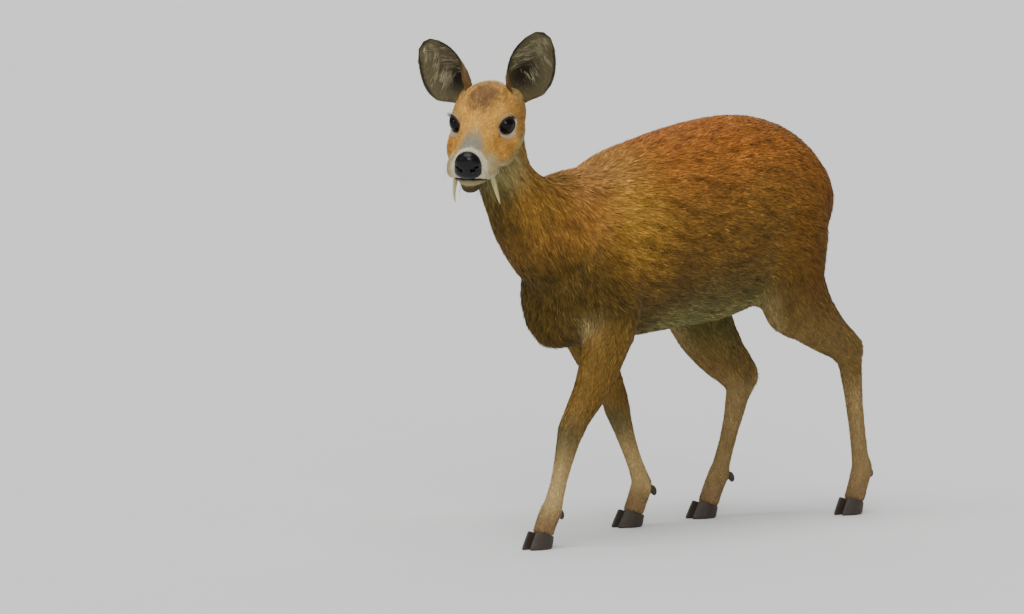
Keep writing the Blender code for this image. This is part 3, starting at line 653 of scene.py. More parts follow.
def lieField(points, normals, labels):
    # the way the hair lies: back along the body, down the limbs, away from the eyes
    ahead, left, up = inBody(points)
    back, down = np.array([0.0, 1.0, 0.0]), np.array([0.0, 0.0, -1.0])
    onSide = 1.0 - np.abs(normals[:, 2])
    sink = 0.22 * onSide + 1.6 * step(-ahead, 0.15, 0.262) + 1.1 * step(ahead, 0.185, 0.262)
    sink += 0.35 * step(ahead, 0.09, 0.20) * onSide
    sink += 0.35 * step(-ahead, 0.05, 0.16) * onSide
    flow = unit(back + sink[:, None] * down)
    neckWay = unit(np.array([[0.04, 0.60, -0.80]]))
    share = step(up, 0.400, 0.480)[:, None]
    flow = onPart("neck", labels, unit(neckWay * share + unit(flow + 0.5 * down) * (1 - share)), flow)

    local = inHead(points)
    rearward = np.stack([
        -np.ones(len(points)), 0.22 * np.sign(local[:, 1]) * step(np.abs(local[:, 1]), 0.004, 0.02),
        -0.25 * step(-local[:, 0], -0.05, 0.02) * onSide], axis=1)
    rearward[:, 2] -= 0.55 * step(-local[:, 0], 0.045, 0.080)
    for eye, frameOfEye in eyeFrames.items():
        inner = inEye(points, eye)
        outward = unit(inner * np.array([1.0, 1.0, 0.0])) @ np.array(frameOfEye.to_3x3()).T @ headTurn
        weight = 1.15 * hump(np.linalg.norm(inner, axis=1), 0.012, 0.009)
        rearward += outward * weight[:, None]
    flow = onPart("head", labels, unit(rearward) @ headTurn.T, flow)
    flow = onPart("tail", labels, unit(np.array([[0.0, 0.25, -1.0]])), flow)
    for name in legNames:
        flow = onPart(name, labels, legLie(points, name), flow)
    return flow


# some tones carry painted light: the lower flank, belly, neck front and inner legs are darkened with painted
# shade, and the withers lightened with painted top light
coatColours = {
    "back": (182, 112, 46), "rump": (137, 88, 32), "flank": (158, 110, 48), "midFlank": (122, 89, 36),
    "lowFlank": (94, 76, 34), "belly": (126, 119, 66), "shoulder": (184, 138, 55), "withers": (190, 136, 72),
    "neck": (156, 114, 48), "throat": (98, 88, 38), "chest": (96, 74, 26), "nape": (164, 120, 64),
    "haunch": (116, 78, 26), "foreleg": (136, 104, 46), "forelegDark": (116, 102, 64),
    "cannon": (196, 168, 112), "hindCannon": (162, 136, 88), "gaskin": (128, 102, 52),
    "innerLeg": (104, 102, 50), "pastern": (150, 122, 82), "tail": (120, 84, 38),
    "face": (230, 172, 80), "crownPatch": (128, 94, 60), "crownRim": (96, 66, 38),
    "crown": (222, 182, 118), "bridge": (156, 153, 130), "white": (232, 224, 190),
    "cheek": (174, 112, 38), "jaw": (172, 162, 108), "chin": (78, 66, 32), "muzzle": (192, 172, 122),
    "lowerLip": (158, 152, 106), "eyeRing": (242, 234, 204), "tear": (70, 50, 34),
    "earRoot": (180, 148, 90), "temple": (176, 128, 62), "lip": (34, 27, 22), "cream": (176, 156, 104),
}


def headColour(local, base):
    ahead, side, up = local.T
    across = np.abs(side)
    cheek = hump(ahead, 0.036, 0.022) * hump(up, -0.015, 0.016) * step(across, 0.010, 0.024)
    streaks = np.clip(0.60 + 0.60 * drift(local, 0.0042, 21) + 0.25 * drift(local, 0.0018, 22), 0.1, 1.0)
    oval = ((ahead + 0.009) / 0.028) ** 2 + (side / 0.0235) ** 2
    onTop = step(up, 0.004, 0.016)
    narrow = np.interp(ahead, [0.036, 0.075], [0.006, 0.014])
    bridge = (1 - step(across, narrow * 0.7, narrow * 1.6)) * step(up, -0.016, -0.004)
    fromNose = np.sqrt(((ahead - 0.0895) / 0.0130) ** 2 + (side / 0.0172) ** 2
                       + ((up + 0.011) / 0.0185) ** 2)
    return layAll(
        base, coatColours,
        ("face", 1),
        ("temple", step(across, 0.026, 0.040) * step(-ahead, -0.02, 0.02)),
        ("crown", step(-ahead, 0.028, 0.048) * step(up, 0.010, 0.026)),
        ("jaw", step(-up, 0.016, 0.036) * step(-ahead, -0.075, -0.050) * step(ahead, -0.060, -0.020)),
        ("nape", step(-ahead, 0.055, 0.075)),
        ("cheek", cheek * streaks),
        ("crownPatch", (1.0 - step(oval + 0.35 * drift(local, 0.006, 23), 0.35, 1.25)) * onTop * 0.92),
        ("crownRim", hump(np.sqrt(oval), 1.16, 0.13) * step(-ahead, -0.002, 0.012) * onTop * 0.55),
        ("bridge", step(ahead, 0.034, 0.064) * bridge),
        ("muzzle", step(ahead, 0.052, 0.074) * step(across, 0.010, 0.019) * step(-up, -0.004, 0.010)),
        ("white", 1 - step(fromNose, 1.22, 1.62)),
        ("earRoot", hump(ahead, -0.046, 0.016) * step(across, 0.020, 0.030) * step(up, 0.0, 0.014)))


def eyeColour(points, shade):
    for eye in eyeFrames:
        x, y, z = inEye(points, eye).T
        ring, high = inOpening(x, y)
        near = (z > -0.004).astype(float)
        around = np.hypot(x * 0.97, y + 0.0010) / eyeSizes["openHigh"]
        shade = layAll(
            shade, coatColours,
            ("eyeRing", hump(around, 1.40, 0.19) * (0.35 + 0.65 * step(-high, -0.7, 0.3)) * near),
            ("lip", (1 - step(ring, 1.08, 1.22)) * near),
            ("tear", hump(x, 0.0165, 0.0035) * hump(y, -0.0045, 0.0022) * near * 0.95))
    return shade


def mouthColour(shade, local, gap, labels):
    # pale lips on both sides of a dark mouth line, which is partly dark lip skin and partly painted shadow
    # of the mouth crease, and the dark chin
    ahead = local[:, 0]
    near = step(ahead, 0.034, 0.050) * (labels == partLabels["head"])
    return layAll(
        shade, coatColours,
        ("chin", step(-gap, 0.0065, 0.0110) * step(ahead, 0.050, 0.064) * near),
        ("jaw", step(-gap, 0.0, 0.0040) * (1 - step(ahead, 0.046, 0.062)) * near),
        ("lowerLip", hump(-gap, 0.0042, 0.0042) * step(ahead, 0.056, 0.070) * near),
        ("white", hump(gap, 0.0040, 0.0030) * near * 0.75),
        # dark mouth line: lip skin and painted shadow in the crease
        ("lip", hump(gap, 0.0002, 0.0022) * near * (0.75 + 0.25 * step(ahead, 0.05, 0.07))))


def coatColour(points, normals, labels):
    ahead, left, up = inBody(points)
    stations = [-0.26, -0.2, -0.1, 0.0, 0.1, 0.2, 0.28]
    top = np.interp(ahead, stations, [0.43, 0.50, 0.53, 0.527, 0.51, 0.47, 0.40])
    low = np.interp(ahead, stations, [0.38, 0.32, 0.275, 0.263, 0.255, 0.247, 0.28])
    blur = 0.045 * drift(points, 0.045, 3) + 0.02 * drift(points, 0.012, 4)
    height = (up - low) / (top - low) + blur
    onTop = step(normals[:, 2], 0.15, 0.75)
    underneath = step(-normals[:, 2] + blur * 3, 0.25, 0.95) * step(-ahead, -0.150, -0.080)
    fromArmpit = (ahead - 0.238) ** 2 + (np.abs(left) - 0.055) ** 2 + (up - 0.272) ** 2
    thigh = step(-np.sign(left) * normals[:, 0], 0.15, 0.70) * (1 - step(up, 0.300, 0.370))
    body = layAll(
        np.zeros((len(points), 3)), coatColours,
        ("flank", 1),
        # painted shade: the flank darkens towards the belly as if lit from above
        ("midFlank", 1 - step(height, 0.42, 0.82)),
        ("back", step(height, 0.62, 0.98) * (1 - step(ahead, 0.20, 0.27))),
        ("rump", step(-ahead, 0.02, 0.21) * step(height, 0.15, 0.70)),
        # painted shade, darkest low on the flank
        ("lowFlank", 1 - step(height, 0.10, 0.46)),
        ("shoulder", hump(ahead, 0.175, 0.055) * step(height, 0.25, 0.6) * 0.9),
        # paler withers tone laid only where the surface faces up: partly the coat's own tone, partly painted
        # top light
        ("withers", step(ahead, 0.10, 0.19) * step(height, 0.72, 0.95) * onTop * 0.8),
        ("haunch", step(-ahead, 0.07, 0.17) * (1 - step(height, 0.25, 0.72)) * 0.9),
        ("chest", step(ahead, 0.175, 0.250) * (1 - step(up, 0.330, 0.425))),
        # pale underside, darkened with painted shade from beneath
        ("belly", underneath * (1 - step(-ahead, 0.22, 0.27) * 0.4)),
        ("cream", np.exp(-fromArmpit / 0.020 ** 2) * 0.75),
        # inner thigh tone, darkened with painted shade
        ("innerLeg", thigh * step(-ahead, 0.03, 0.10) * 0.85))

    # painted shade: the neck is darker where it faces forward, in throat and chest tones
    frontShade = step(-normals[:, 1], 0.25, 0.80)
    local = inHead(points)
    neck = layAll(
        body, coatColours,
        ("neck", 1),
        ("throat", frontShade * step(up, 0.400, 0.470)),
        ("chest", frontShade * (1 - step(up, 0.400, 0.475)) * 0.85),
        ("nape", step(normals[:, 1], 0.1, 0.7) * 0.6),
        ("jaw", step(local[:, 0], -0.060, -0.010) * step(local[:, 2], -0.120, -0.060) * 0.85))
    joinShare = step(0.62 * ahead + 0.78 * up, 0.430, 0.550)[:, None]
    shade = onPart("neck", labels, body * (1 - joinShare) + neck * joinShare, body)
    shade = onPart("tail", labels, layAll(body, coatColours, ("tail", 1)), shade)
    shade = onPart("head", labels, headColour(local, shade), shade)
    shade = eyeColour(points, shade)

    forward = step(-normals[:, 1], 0.35, 0.85)
    legTones = {
        "fore": (
            ("foreleg", 1 - step(up, 0.24, 0.33)),
            ("forelegDark", hump(up, 0.135, 0.028) * (0.6 + 0.4 * step(-normals[:, 1], -0.2, 0.6))),
            ("cannon", 1 - step(up, 0.085, 0.150))),
        "hind": (
            ("gaskin", 1 - step(up, 0.24, 0.33)),
            ("hindCannon", 1 - step(up, 0.15, 0.21)),
            ("cream", forward * hump(up, 0.265, 0.050) * 0.55)),
    }
    for name in legNames:
        inside = normals[:, 0] * (-1 if "left" in name else 1)
        tone = layAll(
            body, coatColours, *legTones[name.split("_")[1]],
            # inner side of the leg, darkened with painted shade
            ("innerLeg", step(inside, 0.35, 0.85) * step(up, 0.20, 0.28) * 0.85),
            ("pastern", 1 - step(up, 0.035, 0.060)))
        shade = onPart(name, labels, tone, shade)
    return shade


def mouthGaps(local, outward, labels):
    # distance from the mouth line along the surface, negative below the line
    steps = mouthSizes["steps"]
    curve = np.array([pathThrough(mouthSizes["line"], t / steps) for t in range(steps + 1)])
    both = np.vstack([curve, curve * np.array([1, -1, 1])])
    muzzle = np.where((labels == partLabels["head"]) & (local[:, 0] > mouthSizes["muzzleFrom"]))[0]
    gap = np.full(len(local), 1.0)
    for start in range(0, len(muzzle), 4000):
        some = muzzle[start:start + 4000]
        away = local[some][:, None, :] - both[None, :, :]
        best = np.linalg.norm(away, axis=2).argmin(1)
        nearest = away[np.arange(len(some)), best]
        deep = (nearest * outward[some]).sum(1)
        along = nearest - outward[some] * deep[:, None]
        beyond = np.maximum(0.0, np.abs(deep) - mouthSizes["through"])
        far = np.hypot(np.linalg.norm(along, axis=1), beyond)
        gap[some] = np.where(along[:, 2] >= 0, far, -far)
    return gap


def openEyes(points):
    # sinks the skin inside the opening, lays the lids on the ball and folds the skin round them
    radius = eyeSizes["radius"]
    for eye, frameOfEye in eyeFrames.items():
        inner = inEye(points, eye)
        x, y, z = inner.T
        ring, high = inOpening(x, y)
        facing = (z > 0.0) & (np.linalg.norm(inner, axis=1) < eyeSizes["lidReach"])
        ball = np.sqrt(radius ** 2 - np.minimum(np.hypot(x, y), radius * 0.999) ** 2)
        z = np.where(facing & (ring < 1.0), np.minimum(z, ball - eyeSizes["sunk"]), z)
        lidTop = np.where(np.hypot(x, y) < radius, ball + eyeSizes["lidOver"], z)
        z = np.where(facing & (ring >= 1.0), np.maximum(z, lidTop), z)
        crease = 0.0010 * hump(ring, 1.62, 0.09) * step(high, 0.0, 0.6)
        crease += 0.0007 * hump(ring, 1.55, 0.08) * step(-high, 0.1, 0.7)
        crease += 0.0014 * hump(x, 0.0160, 0.0034) * hump(y, -0.0045, 0.0016)
        z = z - np.where(facing, crease, 0.0)
        points = moved(np.stack([x, y, z], axis=1), frameOfEye)
    return points


def sculptSkin(work, labels):
    # takes the coat's depth off, cuts the mouth line, fills the lips and opens the eyes
    work.normal_update()
    points = pointsOf(work.verts)
    normals = np.array([vert.normal for vert in work.verts])
    pairs = edgePairs(work)
    depth = relaxed(sizeAt(points, labels, coatDepths), pairs, 14)
    depth = np.where(labels >= partLabels["nose"], skinSizes["hardDepth"], depth)
    depth = relaxed(depth, pairs, 1)
    gap = mouthGaps(inHead(points), normals @ headTurn, labels)
    fill = np.where(gap > 0, 1.0, mouthSizes["lowerLip"])
    depth += mouthSizes["cut"] * hump(gap, 0.0, mouthSizes["cutWide"])
    depth -= mouthSizes["lip"] * hump(np.abs(gap), mouthSizes["lipAt"], mouthSizes["lipWide"]) * fill
    for vert, place in zip(work.verts, openEyes(points - normals * depth[:, None])):
        vert.co = place
    work.normal_update()
    return gap


mouthGap = sculptSkin(skinWork, skinLabels)
bmesh.ops.triangulate(skinWork, faces=[face for face in skinWork.faces if len(face.verts) > 4])
skinWork.normal_update()


def onSurface(flows, normals):
    # the part of a direction that lies in the surface
    return flows - normals * (flows * normals).sum(1, keepdims=True)


def rowsOf(items, name, wide, kind):
    values = np.zeros(len(items) * wide, kind)
    items.foreach_get(name, values)
    return values.reshape(-1, wide)


def skinFields(work, labels, gap):
    mesh = meshOf("skin", work)
    mesh.shade_smooth()
    mesh.calc_loop_triangles()
    points = rowsOf(mesh.vertices, "co", 3, float)
    normals = rowsOf(mesh.vertex_normals, "vector", 3, float)
    pairs = rowsOf(mesh.edges, "vertices", 2, np.int32)
    triangles = rowsOf(mesh.loop_triangles, "vertices", 3, np.int32)
    parts = labels.copy()  # the skin over an eye, the nose or a dewclaw belongs to the head or the leg
    for name in hardNodes:
        host = "leg_" + "_".join(name.split("_")[1:3]) if name.startswith("dewclaw") else "head"
        parts[labels == partLabels[name]] = partLabels[host]
    flow = onSurface(relaxed(lieField(points, normals, parts), pairs, 14), normals)
    colour = mouthColour(coatColour(points, normals, parts), inHead(points), gap, parts)
    lengths = relaxed(sizeAt(points, parts, coatLengths), pairs, 8)
    lips = (parts == partLabels["head"]) & (inHead(points)[:, 0] > 0.034)
    lipLength = np.interp(np.abs(gap), [0.001, 0.004, 0.009], [0.0009, 0.0017, 0.0060])
    lengths = np.where(lips, np.minimum(lengths, lipLength), lengths)
    bare = np.maximum(labels >= partLabels["nose"], 1 - step(np.abs(gap), 0.0012, 0.0021))
    for eye in eyeFrames:
        inner = inEye(points, eye)
        ring, high = inOpening(inner[:, 0], inner[:, 1])
        near = (inner[:, 2] > -0.002) & (np.linalg.norm(inner, axis=1) < eyeSizes["lidReach"])
        bare = np.maximum(bare, near & (ring < 1.12))
    return mesh, {
        "points": points, "normals": normals, "triangles": triangles, "labels": parts,
        "flow": unit(flow), "colour": relaxed(colour, pairs, 1), "length": lengths, "bare": bare,
    }


skinMesh, fields = skinFields(skinWork, skinLabels, mouthGap)


def writeColour(mesh, colours):
    layer = mesh.color_attributes.new("coatColour", "FLOAT_COLOR", "POINT")
    full = np.ones((len(colours), 4), np.float32)
    full[:, :3] = colours
    layer.data.foreach_set("color", full.ravel())


def skinMarkings():
    # darker than the coat over it, and dark where the face is bare
    colour = fields["colour"] * 0.72
    dark = np.clip(fields["bare"], 0, 1)[:, None]
    return onPart("head", fields["labels"], colour * (1 - dark) + linear((38, 30, 27)) * dark, colour)


writeColour(skinMesh, skinMarkings())
skinMesh.materials.append(furFinish("underfur", 240.0, 0.72, 0.0006))
skin = put("skin", skinMesh)
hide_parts(*fleshNodes)
print("skin:", len(fields["triangles"]), "triangles")

# Coat: thin tufts from arrays, rooted on the skin

tuftSizes = {
    "perPiece": 60000, "patch": 0.003, "roll": 0.42, "sway": 0.10, "bend": 0.6, "sunk": 0.0006,
    "waist": 0.82, "rootShade": 0.50, "middleShade": 0.98, "tipShade": 1.22, "darkTip": 0.38,
}
regionCharts = {  # left, bottom, width and height of each part's place in the map
    "torso": (0.0, 0.0, 0.60, 0.50), "neck": (0.63, 0.0, 0.36, 0.24), "head": (0.63, 0.26, 0.36, 0.26),
    "tail": (0.0, 0.51, 0.14, 0.05),
    "leg_fore_left": (0.01, 0.58, 0.22, 0.40), "leg_fore_right": (0.26, 0.58, 0.22, 0.40),
    "leg_hind_left": (0.51, 0.58, 0.22, 0.40), "leg_hind_right": (0.76, 0.58, 0.22, 0.40),
}


def unwrapped(points, labels):
    # each part unrolled round its own axis
    found = np.zeros((len(points), 2))
    for name in fleshNodes:
        here = labels == partLabels[name]
        ahead, left, up = inBody(points[here])
        if name == "head":
            forward, side, above = inHead(points[here]).T
            around, along = np.arctan2(side, -(above + 0.008)), (forward + 0.09) / 0.20
        elif name in ("torso", "tail"):
            around, along = np.arctan2(left, -(up - 0.39)), (ahead + 0.29) / 0.58
        elif name == "neck":
            around, along = np.arctan2(left, ahead - 0.22 - (up - 0.38) * 0.8), (up - 0.32) / 0.26
        else:
            heights, centres = legLines[name]
            x, y, z = points[here].T
            cx, cy = (np.interp(z, heights, centres[:, k]) for k in (0, 1))
            around, along = np.arctan2(x - cx, y - cy), up / 0.46
        x0, y0, wide, high = regionCharts[name]
        found[here, 0] = x0 + wide * (around / (2 * math.pi) + 0.5)
        found[here, 1] = y0 + high * np.clip(along, 0, 1)
    return found


def growTufts(name, tufts, finish, slot, rng, dark, vary=0.16):
    # a tuft is two root corners, two at the middle and one tip
    roots, normals, tones = tufts["roots"], tufts["normals"], tufts["tones"]
    count, sizes = len(roots), tuftSizes
    flows = unit(onSurface(tufts["flows"], normals))
    sideways = np.cross(flows, normals)
    roll = rng.normal(0.0, sizes["roll"], count)[:, None]
    across = unit(sideways * np.cos(roll) + normals * np.sin(roll))
    rise = np.full(count, tufts["lifts"])[:, None]
    ease = rise * (1 - sizes["bend"])
    first = flows * np.cos(rise) + normals * np.sin(rise)
    second = flows * np.cos(ease) + normals * np.sin(ease)
    sway = sideways * rng.normal(0.0, sizes["sway"], count)[:, None]
    half, long = np.full(count, tufts["widths"])[:, None] / 2, tufts["lengths"][:, None]
    root = roots - normals * sizes["sunk"]
    centre = root + first * long * 0.5
    tip = centre + unit(second + sway) * long * 0.5
    waist = across * half * sizes["waist"]
    foot = across * half
    corners = np.stack([root - foot, root + foot, centre - waist, centre + waist, tip], axis=1)

    body = tones * np.exp(rng.normal(0.0, vary, count))[:, None]
    ends = body * np.where(rng.random(count) < dark, sizes["darkTip"], sizes["tipShade"])[:, None]
    low, mid = body * sizes["rootShade"], body * sizes["middleShade"]
    colours = np.stack([low, low, mid, mid, ends], axis=1)
    patch = np.array([[-0.5, -0.5], [0.5, -0.5], [-0.42, 0.1], [0.42, 0.1], [0.0, 0.5]]) * sizes["patch"]
    maps = tufts["places"][:, None, :] + patch[None]

    order = np.array([0, 1, 3, 0, 3, 2, 2, 3, 4])  # the corners of its three triangles
    starts = range(0, count, sizes["perPiece"])
    for number, start in enumerate(starts):
        some = slice(start, min(start + sizes["perPiece"], count))
        n = some.stop - some.start
        loops = (np.arange(n)[:, None] * 5 + order[None]).ravel()
        mesh = bpy.data.meshes.new(f"{name}{number + 1}")
        mesh.vertices.add(n * 5)
        mesh.vertices.foreach_set("co", corners[some].astype(np.float32).ravel())
        mesh.loops.add(n * 9)
        mesh.loops.foreach_set("vertex_index", loops.astype(np.int32))
        mesh.polygons.add(n * 3)
        mesh.polygons.foreach_set("loop_start", np.arange(0, n * 9, 3, dtype=np.int32))
        mesh.update(calc_edges=True)
        layer = mesh.uv_layers.new(name="OFBake")
        flat = maps[some].reshape(-1, 2)[loops]
        layer.data.foreach_set("uv", np.clip(flat, 0.0, 1.0).astype(np.float32).ravel())
        writeColour(mesh, colours[some].reshape(-1, 3))
        mesh.shade_smooth()
        mesh.materials.append(finish)
        piece = put(mesh.name, mesh)
    return len(starts)


def rootsOn(chosen, density, rng):
    # random places on the chosen triangles, by area and density
    a, b, c = fields["points"][fields["triangles"][chosen]].transpose(1, 0, 2)
    share = np.linalg.norm(np.cross(b - a, c - a), axis=1) / 2 * density
    edges = np.cumsum(share) / share.sum()
    count = int(share.sum())
    picks = np.searchsorted(edges, (np.arange(count) + rng.random(count)) / count)
    picks = np.minimum(picks, len(chosen) - 1)
    u, v = rng.random(count), rng.random(count)
    flip = u + v > 1
    u, v = np.where(flip, 1 - u, u), np.where(flip, 1 - v, v)
    return chosen[picks], np.stack([1 - u - v, u, v], axis=1)


coatRegions = {  # density in tufts to a square metre
    "torsoCoat": {
        "parts": ("torso", "tail"), "density": 620e3, "width": 0.00105, "lift": 0.22, "slot": "coat",
        "grain": (0.0, 1.0, -0.2), "fleck": 0.28, "spots": 0.38, "dark": 0.28, "vary": 0.30},
    "neckCoat": {
        "parts": ("neck",), "density": 700e3, "width": 0.00100, "lift": 0.22, "slot": "neck_coat",
        "grain": (0.0, 0.55, -0.8), "fleck": 0.23, "spots": 0.28, "dark": 0.24, "vary": 0.28},
    "headCoat": {
        "parts": ("head",), "density": 1800e3, "width": 0.00068, "lift": 0.22, "slot": "face_coat",
        "grain": (0.45, -0.80, -0.40), "fleck": 0.18, "spots": 0.15, "dark": 0.16, "vary": 0.22},
    "legCoat": {
        "parts": tuple(legNames), "density": 860e3, "width": 0.00090, "lift": 0.20, "slot": "leg_coat",
        "grain": (0.0, 0.1, 1.0), "fleck": 0.15, "spots": 0.16, "dark": 0.16, "vary": 0.22},
}


def growRegion(name, facts, seed):
    rng = np.random.default_rng(seed)
    triangles, labels = fields["triangles"], fields["labels"]
    inRegion = np.isin(labels[triangles[:, 0]], [partLabels[part] for part in facts["parts"]])
    chosen = np.where(inRegion & (fields["bare"][triangles].max(1) < 0.6))[0]
    lengthThere = fields["length"][triangles[chosen]].mean(1)
    typical = np.median(lengthThere)
    density = facts["density"] * np.clip(typical / lengthThere, 0.6, 2.2)
    picked, weights = rootsOn(chosen, density, rng)
    corners = triangles[picked]

    def mixed(key):
        values = fields[key][corners]
        return (values * (weights[:, :, None] if values.ndim == 3 else weights)).sum(1)

    roots, normals, flows = mixed("points"), unit(mixed("normals")), unit(mixed("flow"))
    count = len(roots)

    def scatter(size, spread, low, high):
        return size * np.clip(rng.normal(1.0, spread, count), low, high)

    spread = 0.14 * drift(roots, 0.022, seed + 5) + 0.09 * drift(roots, 0.007, seed + 6)
    flows = unit(flows + np.cross(flows, normals) * (spread + rng.normal(0, 0.10, count))[:, None])
    lengths = scatter(mixed("length"), 0.16, 0.55, 1.4) * (1 + 0.12 * drift(roots, 0.009, seed + 7))
    widths = scatter(facts["width"], 0.2, 0.5, 1.6) * np.clip(mixed("length") / typical, 0.55, 1.15)
    lifts = scatter(facts["lift"], 0.30, 0.3, 1.9)
    grain = np.array(facts["grain"]) / np.linalg.norm(facts["grain"])
    drawn = roots - 0.72 * (roots @ grain)[:, None] * grain  # noise stretched along the hair
    streaks = 0.13 * drift(drawn, 0.0105, seed + 8) + facts["fleck"] * drift(drawn, 0.0034, seed + 9)
    streaks -= facts["spots"] * step(drift(drawn, 0.0060, seed + 10), 0.20, 0.60)
    tufts = {
        "roots": roots, "normals": normals, "flows": flows, "lengths": lengths, "widths": widths,
        "lifts": lifts, "tones": mixed("colour") * np.exp(streaks)[:, None],
        "places": unwrapped(roots, labels[corners[:, 0]]),
    }
    finish = furFinish(name + "Finish", 300.0, 0.56, 0.0)
    pieces = growTufts(name, tufts, finish, facts["slot"], rng, facts["dark"], facts["vary"])
    print(name + ":", count, "tufts in", pieces, "pieces")


for number, (regionName, regionFacts) in enumerate(coatRegions.items()):
    growRegion(regionName, regionFacts, 11 + 20 * number)

# Ears: rolled shells with short fur outside and long pale hair inside

earSizes = {
    "length": 0.0915, "wall": 0.0013, "base": (-0.048, 0.0325, 0.0060), "backTilt": math.radians(28),
    "leans": {1: math.radians(22.5), -1: math.radians(42)},
    "facesOut": {1: math.radians(20), -1: math.radians(-4)},
    "sections": ((0.00, 0.0175, 145), (0.12, 0.0215, 126), (0.28, 0.0265, 104), (0.45, 0.0310, 83),
                 (0.62, 0.0330, 66), (0.78, 0.0325, 51), (0.89, 0.0305, 38), (0.96, 0.0285, 27),
                 (1.01, 0.0270, 16)),
}


def earFrame(side):
    lean, out, tilt = earSizes["leans"][side], earSizes["facesOut"][side], earSizes["backTilt"]
    rise = Vector((-math.sin(tilt), 0.0, math.cos(tilt)))
    along = (rise * math.cos(lean) + Vector((0, side, 0)) * math.sin(lean)).normalized()
    mouth = Vector((math.cos(out), side * math.sin(out), 0.0))
    mouth = (mouth - along * mouth.dot(along)).normalized()
    made = Matrix((mouth, along.cross(mouth), along)).transposed().to_4x4()
    x, y, z = earSizes["base"]
    made.translation = Vector((x, side * y, z))
    return headFrame @ made


def earTable():
    # the sections drawn through smoothly, with a rounded tip
    table = np.array(earSizes["sections"])
    shares = np.linspace(0.0, 1.01, 102)
    radius, reach = (np.interp(shares, table[:, 0], table[:, k]) for k in (1, 2))
    for again in range(40):
        for curve in (radius, reach):
            curve[1:-1] = (curve[:-2] + 2 * curve[1:-1] + curve[2:]) / 4
    radius *= 1 - 0.30 * (1 - step(shares, 0.0, 0.26))
    past = np.clip((shares - 0.84) / 0.165, 0.0, 1.0)
    base = np.interp(shares, [0.0, 0.62, 0.78, 0.84, 1.01], [145, 66, 54, 51, 45])
    rounded = base * np.sqrt(np.maximum(0.0, 1 - past ** 2.6))
    reach = np.where(shares > 0.84, np.minimum(reach + 2.0, rounded), reach)
    return shares, radius, np.radians(np.maximum(reach, 0.4))


earCurves = earTable()


def earCup(share):
    # radius of the cup, how far it reaches round and where its back lies
    radius, reach = (np.interp(share, earCurves[0], curve) for curve in earCurves[1:])
    return radius, reach, -0.0150 - 0.0050 * np.sin(math.pi * share) + 0.0060 * share ** 3


def earPlaces(share, across, offset):
    # share from root to tip, across from -1 to 1, offset into the cup
    radius, reach, back = earCup(share)
    angle = reach * across
    drop = 0.0045 * np.abs(across) ** 1.5 * share * (1.0 - 0.7 * share ** 8)
    inward = radius - offset
    return np.stack([back + radius - inward * np.cos(angle), inward * np.sin(angle),
                     earSizes["length"] * share - drop], axis=-1)


def earShell(side):
    # wall thick at the root and thin at the rim, with low ribs inside
    frameOfEar = earFrame(side)

    def place(u, v):
        around = math.sin(2 * math.pi * u)
        across = math.cos(2 * math.pi * u)
        share = 0.02 + 0.985 * math.sin(v * math.pi / 2) ** 0.9
        thick = earSizes["wall"] * (0.55 + 0.75 * (1 - v)) * math.sqrt(max(0.0, 1 - across ** 2)) ** 0.5
        pull, offset = 0.0004 * (1 - abs(around)), -thick / 2
        if around > 0:
            ribs = 0.00045 * math.cos(across * 13.0) * (1 - across ** 2)
            offset = thick / 2 + ribs * math.sin(math.pi * min(1, share))
        if v > 0.999:
            pull, offset = 0.0, 0.0  # the two walls meet at the tip
        here = earPlaces(np.array([share]), np.array([across * (1 - pull * 20)]), np.array([offset]))
        return Vector(moved(here, frameOfEar)[0])

    work = shapedGrid(96, 56, place)
    bmesh.ops.triangulate(work, faces=[face for face in work.faces if len(face.verts) > 4])
    soften(work, 1, 0.4)
    return work


earColours = {
    "outer": (134, 110, 70), "outerRoot": (152, 124, 84), "rim": (46, 38, 29), "inner": (114, 105, 76),
    "hollow": (42, 37, 26), "pale": (190, 178, 142), "grey": (112, 104, 78), "root": (134, 116, 76),
}


def earTone(share, across, inside):
    edge = np.maximum(step(np.abs(across), 0.87, 0.95), step(share, 0.935, 0.985))
    marks = [("outer", 1), ("outerRoot", 1 - step(share, 0.15, 0.42))]
    if inside:
        marks = [("inner", 1), ("hollow", hump(share, 0.36, 0.24) * hump(across, 0.0, 0.42) * 1.1),
                 ("root", (1 - step(share, 0.07, 0.20)) * 0.6)]
    marks.append(("rim", edge * step(share, 0.16, 0.40) * 0.82))
    return layAll(np.zeros((len(share), 3)), earColours, *marks)


def paleTone(share, across, side):
    # pale hair with greyer strands in it
    where = np.stack([share * 0.09, across * 0.04, share * 0], axis=1)
    pale = np.clip(0.55 + 0.6 * drift(where, 0.008, 77 + side), 0, 1)
    return layAll(np.zeros((len(share), 3)), earColours, ("grey", 1), ("pale", pale))


earHair = {  # count and where from root to tip, then the lean: up, to the side by place and by half
    "Back": {"count": 9000, "from": (0.04, 0.985), "inside": False, "lengths": (0.0040, 0.0066),
             "width": 0.0007, "lift": 0.18, "lean": (1.0, 0.10, 0.0), "dark": 0.22},
    "Inner": {"count": 8000, "from": (0.05, 0.975), "inside": True, "lengths": (0.0035, 0.0070),
              "width": 0.0007, "lift": 0.25, "lean": (1.0, -0.35, 0.0), "dark": 0.28},
    "Locks": {"count": 30, "from": (0.26, 0.90), "inside": True, "lengths": (0.009, 0.020),
              "width": 0.0005, "lift": 0.26, "lean": (0.8, 0.0, -1.0), "dark": 0.14},
    "Rim": {"count": 3200, "from": (0.18, 0.985), "inside": False, "lengths": (0.0022, 0.0038),
            "width": 0.0006, "lift": 0.10, "lean": (0.85, 0.0, 0.5), "dark": 0.2},
}


